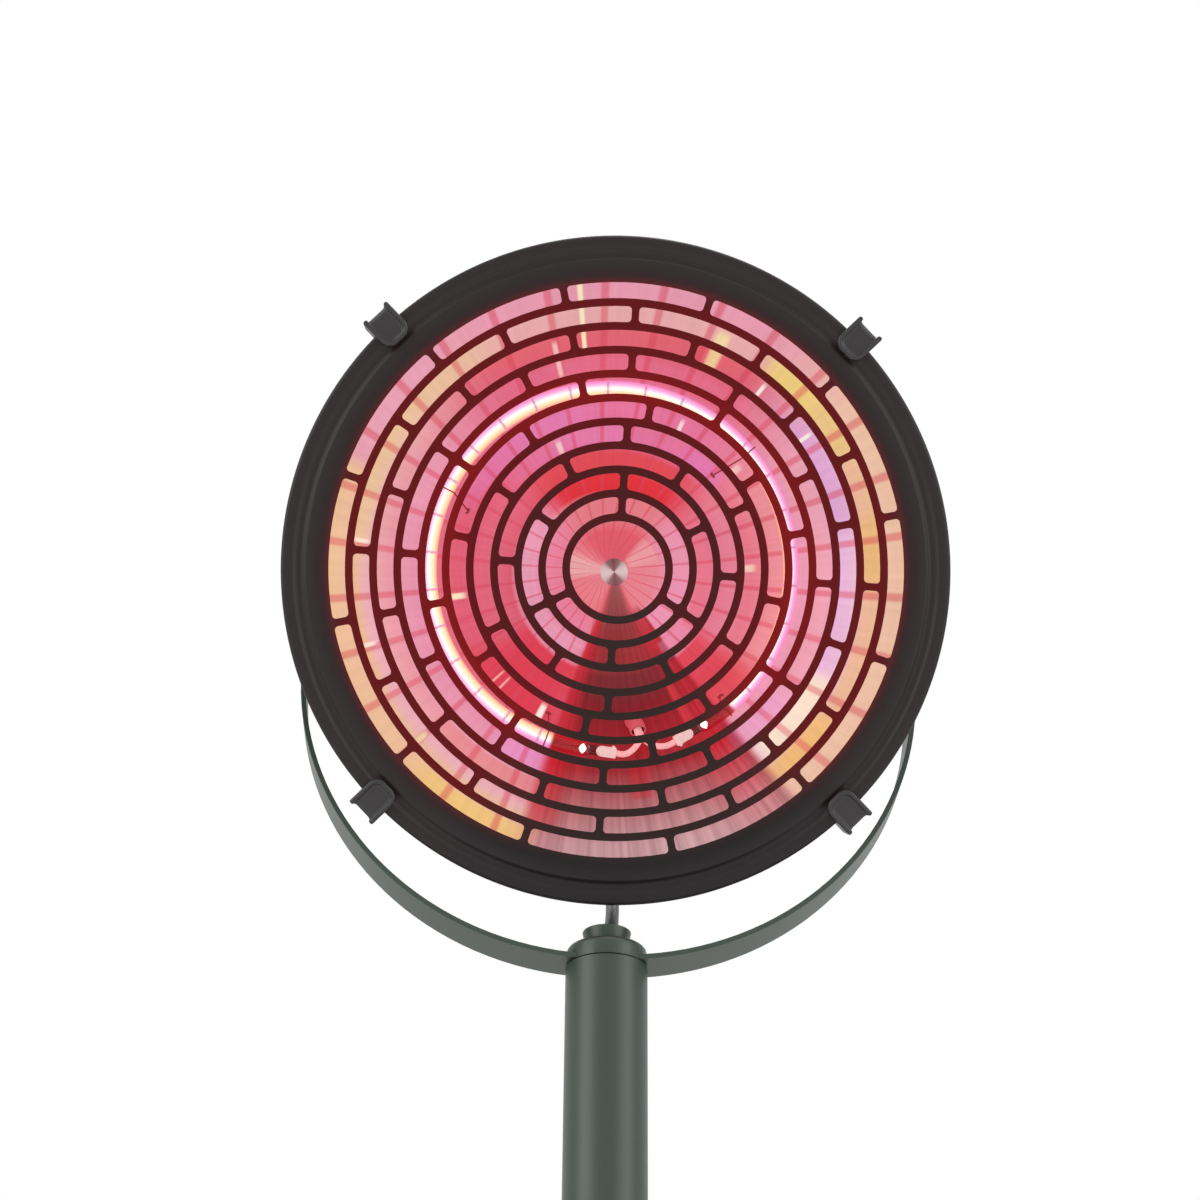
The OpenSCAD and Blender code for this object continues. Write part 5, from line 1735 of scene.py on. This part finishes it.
@dataclass
class HeadShell:
    """The housing, the reflector and the heat shield between them. Sizes in mm in the head's frame."""

    bowl: float = 186.0
    dome: float = 118.0
    power: float = 2.5
    neck: float = 88.0
    flange: float = 97.0
    rim: float = 200.0
    back: float = -22.0
    wall: float = 1.2
    mouth: float = 176.0
    mouth_z: float = 98.0
    reflector_rim: float = 196.5
    reflector_wall: float = 1.0
    valley: float = 62.0
    valley_z: float = 28.0
    tip: float = 8.0
    tip_h: float = 38.0
    cone_power: float = 1.35

    def bowl_line(self, inset: float) -> Profile:
        """Gives the housing's curve from its neck to its flat back.

        Args:
            inset: How far inside the outer curve it runs.

        Returns:
            Points of (radius, height).
        """
        steps = 40
        radius, dome, back = self.bowl - inset, self.dome - inset, self.back + inset
        last = math.asin(((self.neck - back) / dome) ** (self.power / 2))
        line = []
        for i in range(steps + 1):
            a = last * i / steps
            along, down = math.cos(a) ** (2 / self.power), math.sin(a) ** (2 / self.power)
            line.append((radius * along, self.neck - dome * down))
        return line

    def reflector_height(self, r: float) -> float:
        """Gives the reflector's height.

        Args:
            r: The radius, out to the reflector's mouth.

        Returns:
            The height of its front side.
        """
        if r <= self.tip:
            return self.valley_z + self.tip_h
        if r < self.valley:
            share = (self.valley - r) / (self.valley - self.tip)
            return self.valley_z + self.tip_h * share**self.cone_power
        share = (r - self.valley) / (self.mouth - self.valley)
        return self.valley_z + (self.mouth_z - self.valley_z) * share**2

    def housing(self) -> None:
        """Turns the housing."""
        bowl, rim, flange = self.bowl, self.rim, self.flange
        under = flange - self.wall
        profile = [
            (bowl - self.wall, flange), (rim - 0.3, flange), (rim, flange - 0.3), (rim, under + 0.3),
            (rim - 0.3, under), (bowl + 1.0, under), (bowl + 0.3, under - 0.3), (bowl, under - 1.0),
        ]
        profile += self.bowl_line(0)
        profile += [(0, self.back), (0, self.back + self.wall)]
        profile += self.bowl_line(self.wall)[::-1]
        draft = Draft()
        draft.revolve(profile, 160)
        piece = draft.make("head_housing_spun", BLACK_COAT, HEAD, 40)
        settle(piece, Body.HEAD, "black_paint", "head_housing")

    def reflector(self) -> None:
        """Turns the reflector with its cone."""
        radii = [self.tip + (self.valley - self.tip) * k / 36 for k in range(37)]
        radii += [self.valley + (self.mouth - self.valley) * k / 44 for k in range(1, 45)]
        top = self.valley_z + self.tip_h
        # The cone's tip has a small rounded edge.
        line = [(0, top), (self.tip - 0.5, top), (self.tip, top - 0.25)]
        line += [(r, self.reflector_height(r)) for r in radii[1:]]
        line.append((self.reflector_rim, self.mouth_z))
        under = [(r, z - self.reflector_wall) for r, z in line][::-1]
        draft = Draft()
        draft.revolve(line + under, 180)
        piece = draft.make("reflector_spun", REFLECTOR_METAL, HEAD, 50)
        settle(piece, Body.HEAD, "spun_aluminium", "reflector")

    def build(self) -> None:
        """Builds the shells and coats what lies between them."""
        self.housing()
        self.reflector()
        coat(ZINC, "heat_shield", "shield_posts")
        coat(FIBRE, "rim_gasket")
        coat(STEATITE, "thermal_cutout")


@dataclass
class Lamp:
    """The ring-shaped halogen lamp with its caps and its holders. Sizes in mm in the head's frame."""

    z: float = 55.0
    gap_span: float = 39.5
    tube_sides: int = 20
    pinch: tuple[Point, ...] = (
        (0.5, 4.9, 4.6), (1.4, 4.3, 3.4), (2.6, 3.6, 1.9), (3.8, 3.1, 1.3), (4.8, 3.0, 1.2), (10.9, 3.0, 1.2),
    )
    coil_points: int = 2600
    coil_turns: float = 245.0
    coil_r: float = 1.0
    coil_wire: float = 0.32
    supports: int = 25
    support_r: float = 3.4
    support_wire: float = 0.28
    cap: Point = (6.6, 12.4, 6.6)
    cap_start: float = 8.0
    glint_deep: float = 1.2
    holders: tuple[float, ...] = (48, 138.5, 199, 294)
    feet: tuple[tuple[float, float], ...] = ((61.4, 64.4), (70, -73.8), (-36.9, -87.8), (-91.1, 36.4))
    wire: float = 0.45
    tab: float = 0.75

    @property
    def start(self) -> float:
        """The arc's first angle, counter-clockwise from x."""
        return 90 - LAMP_GAP + self.gap_span / 2

    @property
    def sweep(self) -> float:
        """The arc's angle."""
        return 360 - self.gap_span

    def at(self, a: float) -> tuple[Vector, Vector]:
        """Gives a point on the lamp's circle.

        Args:
            a: Its angle in radians, counter-clockwise from x.

        Returns:
            The point and the direction along the circle, in mm.
        """
        point = Vector((LAMP_X + LAMP_RING * math.cos(a), LAMP_Y + LAMP_RING * math.sin(a), self.z))
        return point, Vector((-math.sin(a), math.cos(a), 0))

    def on_arc(self, share: float) -> tuple[Vector, Vector]:
        """Gives the point at a share of the arc, from 0 to 1, and the direction along it, in mm."""
        return self.at(math.radians(self.start + self.sweep * share))

    def end_frame(self, end: int) -> tuple[Vector, Vector, Vector]:
        """Gives an end of the lamp.

        Args:
            end: 0 for the arc's first end, 1 for its last.

        Returns:
            Its place, the way out of it and the way across, in mm.
        """
        point, along = self.on_arc(end)
        out = along if end == 1 else -along
        return point, out, UP.cross(out)

    def tube(self) -> None:
        """Sweeps the quartz tube and pinches both ends flat."""
        stops = [(*self.on_arc(k / 240), LAMP_BORE, LAMP_BORE) for k in range(241)]
        for end in (0, 1):
            point, out, _ = self.end_frame(end)
            _, along = self.on_arc(end)
            pinch = [(point + out * far, along, wide, flat) for far, wide, flat in self.pinch]
            stops = stops + pinch if end == 1 else pinch[::-1] + stops
        draft = Draft()
        rows = []
        for point, along, wide, flat in stops:
            across = UP.cross(along).normalized()
            section = [(wide * math.cos(a), flat * math.sin(a)) for a in full_turn(self.tube_sides)]
            rows.append(draft.loop([point + u * across + v * UP for u, v in section]))
        draft.body(rows)
        settle(draft.make("lamp_tube_quartz", RUBY_QUARTZ, HEAD, 60), Body.HEAD, "quartz", "lamp_tube")

    def coil(self) -> None:
        """Winds the filament with Geometry Nodes: a coil that follows the lamp's arc."""
        tree = Tree("filament coil", **{
            "Ring": LAMP_RING * MM,
            "Coil Radius": self.coil_r * MM,
            "Wire Radius": self.coil_wire * MM,
            "Turns": self.coil_turns,
            "Start": math.radians(90 - LAMP_GAP + COLD_HALF),
            "Sweep": math.radians(360 - 2 * COLD_HALF),
            "Material": HOT_TUNGSTEN.material(),
        })
        get = tree.inputs
        line = tree.add("GeometryNodeMeshLine", {"Count": self.coil_points}, mode="OFFSET")
        share = tree.math("DIVIDE", tree.add("GeometryNodeInputIndex").outputs[0], self.coil_points - 1.0)
        angle = tree.math("MULTIPLY_ADD", share, get["Sweep"], get["Start"])
        wind = tree.math("MULTIPLY", tree.math("MULTIPLY", share, get["Turns"]), 2 * math.pi)
        radius = tree.math("MULTIPLY_ADD", tree.math("COSINE", wind), get["Coil Radius"], get["Ring"])
        place = tree.add("ShaderNodeCombineXYZ", {
            0: tree.math("MULTIPLY", radius, tree.math("COSINE", angle)),
            1: tree.math("MULTIPLY", radius, tree.math("SINE", angle)),
            2: tree.math("MULTIPLY", tree.math("SINE", wind), get["Coil Radius"]),
        })
        inputs = {"Geometry": line.outputs[0], "Position": place.outputs[0]}
        bent = tree.add("GeometryNodeSetPosition", inputs)
        curve = tree.add("GeometryNodeMeshToCurve", {0: bent.outputs[0]})
        wire = tree.sweep(curve.outputs[0], get["Wire Radius"], 4, True)
        piece = tree.run("filament_coil", points_mesh("coil base", [Vector()], [UP]), wire, 80)
        piece.data.transform(HEAD @ Matrix.Translation((LAMP_X * MM, LAMP_Y * MM, self.z * MM)))
        settle(piece, Body.HEAD, "tungsten", "lamp_filament")

    def rings(self) -> None:
        """Stands the wire rings that carry the filament along the arc with Geometry Nodes."""
        places, aims = [], []
        for k in range(self.supports):
            point, along = self.at(math.radians(90 - FIRST_RING_TURN - RING_PITCH * k))
            places.append(HEAD @ (point * MM))
            aims.append(HEAD.to_3x3() @ along)
        tree = Tree("filament rings", **{
            "Ring Radius": self.support_r * MM,
            "Wire Radius": self.support_wire * MM,
            "Material": TUNGSTEN.material(),
        })
        get = tree.inputs
        ring = tree.add("GeometryNodeCurvePrimitiveCircle", {"Resolution": 18, "Radius": get["Ring Radius"]})
        wire = tree.sweep(ring.outputs[0], get["Wire Radius"], 6, False)
        piece = tree.run("filament_rings", points_mesh("rings", places, aims), tree.scatter(wire), 80)
        settle(piece, Body.HEAD, "tungsten", "filament_supports")

    def caps(self) -> None:
        """Builds the two ceramic caps, round towards the tube, with a small nub beside the lead."""
        draft = Draft()
        width, length, depth = self.cap
        half, near, far = width / 2, self.cap_start, self.cap_start + length
        turn = [math.pi * k / 12 - math.pi / 2 for k in range(13)]
        outline = [(near + half * (1 - math.cos(a)), half * math.sin(a)) for a in turn]
        outline += [(far - 3.0, half), (far - 2.6, half + 1.1), (far - 1.2, half + 1.1), (far - 1.0, half)]
        outline += [(far, half), (far, -half)]
        for end in (0, 1):
            point, out, across = self.end_frame(end)
            levels = (point - UP * depth / 2, point + UP * depth / 2)
            draft.body([draft.loop([level + out * u + across * v for u, v in outline]) for level in levels])
        piece = bevelled(draft.make("lamp_caps_pressed", STEATITE, HEAD), 0.5, 3, 40)
        settle(piece, Body.HEAD, "ceramic", "lamp_caps")

    def glints(self) -> None:
        """Builds the painted glints where the filament meets the pinched ends: bright glowing shapes, each of
        three crossed grains.
        """
        draft = Draft()
        for end in (0, 1):
            point, out, across = self.end_frame(end)
            centre = point - out * 0.4
            for long, wide in ((2.0, 2.6), (1.2, 3.1), (2.4, 1.7)):
                rows = []
                for k in range(1, 8):
                    a = math.pi * k / 8
                    middle = centre + out * long * math.cos(a)
                    side, up = across * wide * math.sin(a), UP * self.glint_deep * math.sin(a)
                    rows.append(draft.round(middle, side, up, 1, 12))
                draft.body(rows)
        settle(draft.make("filament_end_glints", END_GLINT, HEAD, 80), Body.HEAD, "tungsten")

    def springs(self) -> None:
        """Bends the wires that clip round the tube and slant down to their feet in the reflector."""
        draft = Draft()
        shell = HeadShell()
        loop = LAMP_BORE + self.wire + 0.1
        for turn, (x, y) in zip(self.holders, self.feet):
            out = Vector((*clockwise(1, turn), 0))
            centre = Vector((LAMP_X, LAMP_Y, self.z)) + LAMP_RING * out
            bends = [math.radians(200 + 340 * k / 32) for k in range(33)]
            path = [centre + loop * (math.cos(a) * out + math.sin(a) * UP) for a in bends]
            foot = Vector((x, y, shell.reflector_height(math.hypot(x, y)) + 0.2))
            draft.tube([foot, foot + (path[0] - foot) * 0.5, *path], self.wire, 10)
            # The foot is a bent tab that locks in a keyhole.
            across = Vector((-out.y, out.x, 0))
            steps = ((-1.9, 0.4), (-0.6, 0), (0.6, 0), (1.9, 0.8))
            tab = [foot + across * u + out * v + UP * 0.7 for u, v in steps]
            draft.tube(tab, self.tab, 10)
        piece = draft.make("lamp_springs", SPRING_WIRE, HEAD, 60)
        settle(piece, Body.HEAD, "plated_steel", "lamp_holders")

    def build(self) -> None:
        """Builds the lamp."""
        self.tube()
        self.coil()
        self.rings()
        self.caps()
        self.glints()
        self.springs()


@dataclass
class LampLeads:
    """The two sleeved leads from the lamp to the terminal block. Sizes in mm in the head's frame."""

    radius: float = 1.9
    bushing: tuple[float, float] = (18.3, -95.0)
    pair: float = 2.3
    left_way: tuple[Point, ...] = (
        (9.8, -111.8, 55), (12.8, -110.8, 54.9), (16, -108.2, 54.8), (18.4, -104.9, 54.6),
        (19.2, -101.8, 54.2),
    )
    right_way: tuple[Point, ...] = (
        (36.4, -105.6, 55), (32.2, -106.2, 54.6), (28, -105.6, 53), (24, -103.6, 51.2), (20.8, -100.4, 50),
    )
    lean: tuple[Point, ...] = (
        (18.6, -97.2, 50.4), (17.7, -94.4, 47.6), (16.9, -92.6, 42.5), (16.1, -91.6, 34), (15.8, -91.2, 20),
    )
    bushing_wall: tuple[float, float] = (5.1, 4.0)
    grommet: tuple[float, float] = (8.0, -33.5)
    floor: float = -26.0

    def down(self, side: int) -> list[Point]:
        """Gives the way from the ceramic sleeve to the terminal block.

        Args:
            side: 1 for one lead of the pair and -1 for the other.

        Returns:
            The points that the lead passes.
        """
        x, y = self.bushing[0] + side * self.pair, self.bushing[1]
        gx, gy = self.grommet[0] + side * self.pair, self.grommet[1]
        inside = [(bx + side * 0.5, by + side * 1.0, bz - side * 1.7) for bx, by, bz in self.lean[:2]]
        inside += [(bx + side * 1.95, by, bz) for bx, by, bz in self.lean[2:]]
        return [
            *inside, (x, y + 1, 8), (12 + side * self.pair, y + 12, -3),
            (gx, -64, -9), (gx, -46, -11), (gx, -37, -14), (gx, gy, -21), (gx, gy, self.floor - 4),
            (gx, gy + 6, self.floor - 7), (gx, -17, self.floor - 7),
        ]

    def leads(self) -> None:
        """Builds both leads as one braided piece."""
        lamp = Lamp()
        first = lamp.cap_start + lamp.cap[1]
        draft = Draft()
        for end, side, way in ((1, -1, self.left_way), (0, 1, self.right_way)):
            point, out, _ = lamp.end_frame(end)
            start = [point + out * first, point + out * (first + 2)]
            draft.tube(smooth_path([*start, *way, *self.down(side)], 3), self.radius, 14)
        settle(draft.make("lamp_leads_braided", BRAID, HEAD, 60), Body.HEAD, "sleeving", "lamp_leads")

    def sleeve(self) -> None:
        """Builds the ceramic sleeve that leads both leads through the reflector, with a dark tube of painted
        shade in its bore.
        """
        outer, inner = self.bushing_wall
        draft = Draft()
        path = smooth_path(self.lean, 4)
        draft.pipe(path, outer, inner, 36, (outer + inner) / 2)
        # Painted shade: a dark red tube in the bore stands for the shade inside the sleeve.
        bore_shade = Draft()
        start = path[0] + (path[1] - path[0]) * 0.15
        bore_shade.pipe([start, *path[1:]], inner + 0.02, inner - 0.25, 36, inner - 0.1)
        settle(bore_shade.make("lead_sleeve_shaded_bore", BORE_SHADE, HEAD, 50), Body.HEAD, "ceramic")
        piece = draft.make("lead_sleeve_pressed", GLAZED_SLEEVE, HEAD, 50)
        settle(piece, Body.HEAD, "ceramic", "lead_bushing")

    def build(self) -> None:
        """Builds the leads and their sleeve."""
        self.leads()
        self.sleeve()


@dataclass
class TiltClamps:
    """The bracket behind the head and the clamps of the tilt axis. Sizes in mm in the head's frame."""

    bar_back: float = -26.0
    screw_x: float = 68.0
    screw_y: float = 8.0

    def build(self) -> None:
        """Dresses the bracket and the clamps, and fits the bracket's screws."""
        dress("cross_bracket", Body.HEAD, "black_paint", BLACK_COAT, 0.5)
        dress("tilt_washers", Body.HEAD, "washer_nylon", NYLON, 0.3)
        coat(ZINC, "tilt_studs")
        for knob in (Body.LEFT_KNOB, Body.RIGHT_KNOB):
            dress(knob.value, knob, "black_plastic", PHENOLIC, 0.9, 3)
        sides = [(sx, sy) for sx in (-1, 1) for sy in (-1, 1)]
        places = [head_point(sx * self.screw_x, sy * self.screw_y, self.bar_back) for sx, sy in sides]
        aims = [head_aim(0, 0, -1)] * len(places)
        ScrewSet("bracket_screw_set", "bracket_screws", Body.HEAD, places, aims, 4.6, 3, 2.5, 11.2).build()


@dataclass
class TerminalBox:
    """The box on the back of the head, with its cover and switch. Sizes in mm in the head's frame."""

    cover_back: float = -66.5
    cover_x: float = 43.5
    cover_y: float = 38.5
    shield_circle: float = 75.0
    back: float = -22.0

    def screws(self) -> None:
        """Fits the screws of the cover and of the heat shield."""
        sides = [(sx, sy) for sx in (-1, 1) for sy in (-1, 1)]
        places = [head_point(sx * self.cover_x, sy * self.cover_y, self.cover_back) for sx, sy in sides]
        aims = [head_aim(0, 0, -1)] * len(places)
        ScrewSet("cover_screw_set", "cover_screws", Body.HEAD, places, aims, 3.4, 2, 1.6, 16).build()
        circle = [clockwise(self.shield_circle, 45 + 90 * k) for k in range(4)]
        places = [head_point(x, y, self.back) for x, y in circle]
        ScrewSet("shield_screw_set", "shield_screws", Body.HEAD, places, aims, 3.6, 2.4, 2, 30).build()

    def build(self) -> None:
        """Dresses the box and all that is in and on it."""
        dress("terminal_box", Body.HEAD, "black_paint", BLACK_COAT, 0.5)
        dress("rear_cover", Body.HEAD, "black_paint", BLACK_COAT, 0.6, 3)
        dress("cover_gasket", Body.HEAD, "gasket_fibre", FIBRE, 0)
        dress("switch_body", Body.HEAD, "black_plastic", PHENOLIC, 0.4)
        dress("rocker", Body.ROCKER, "black_plastic", PHENOLIC, 0.4)
        dress("cable_gland", Body.HEAD, "black_rubber", RUBBER, 0.4)
        dress("lead_boot", Body.HEAD, "black_rubber", RUBBER, 0.25)
        coat(RUBBER, "wire_grommet")
        coat(STEATITE, "terminal_block")
        coat(PHENOLIC, "tip_switch")
        coat(CORE, "supply_cores")
        coat(ZINC, "box_screws", "rocker_pin")
        self.screws()


def main() -> None:
    """Builds the heater, piece by piece, in the CAD's frame."""
    logging.basicConfig(level=logging.INFO, format="%(message)s")
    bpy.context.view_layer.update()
    parts = [Studio(), SupplyLead(), Stand(), Swivel(), HeadShell(), Grille(), RimClips()]
    parts += [Lamp(), LampLeads(), TiltClamps(), TerminalBox()]
    for part in parts:
        log.info("building %s", type(part).__name__)
        part.build()


if __name__ == "__main__":
    main()
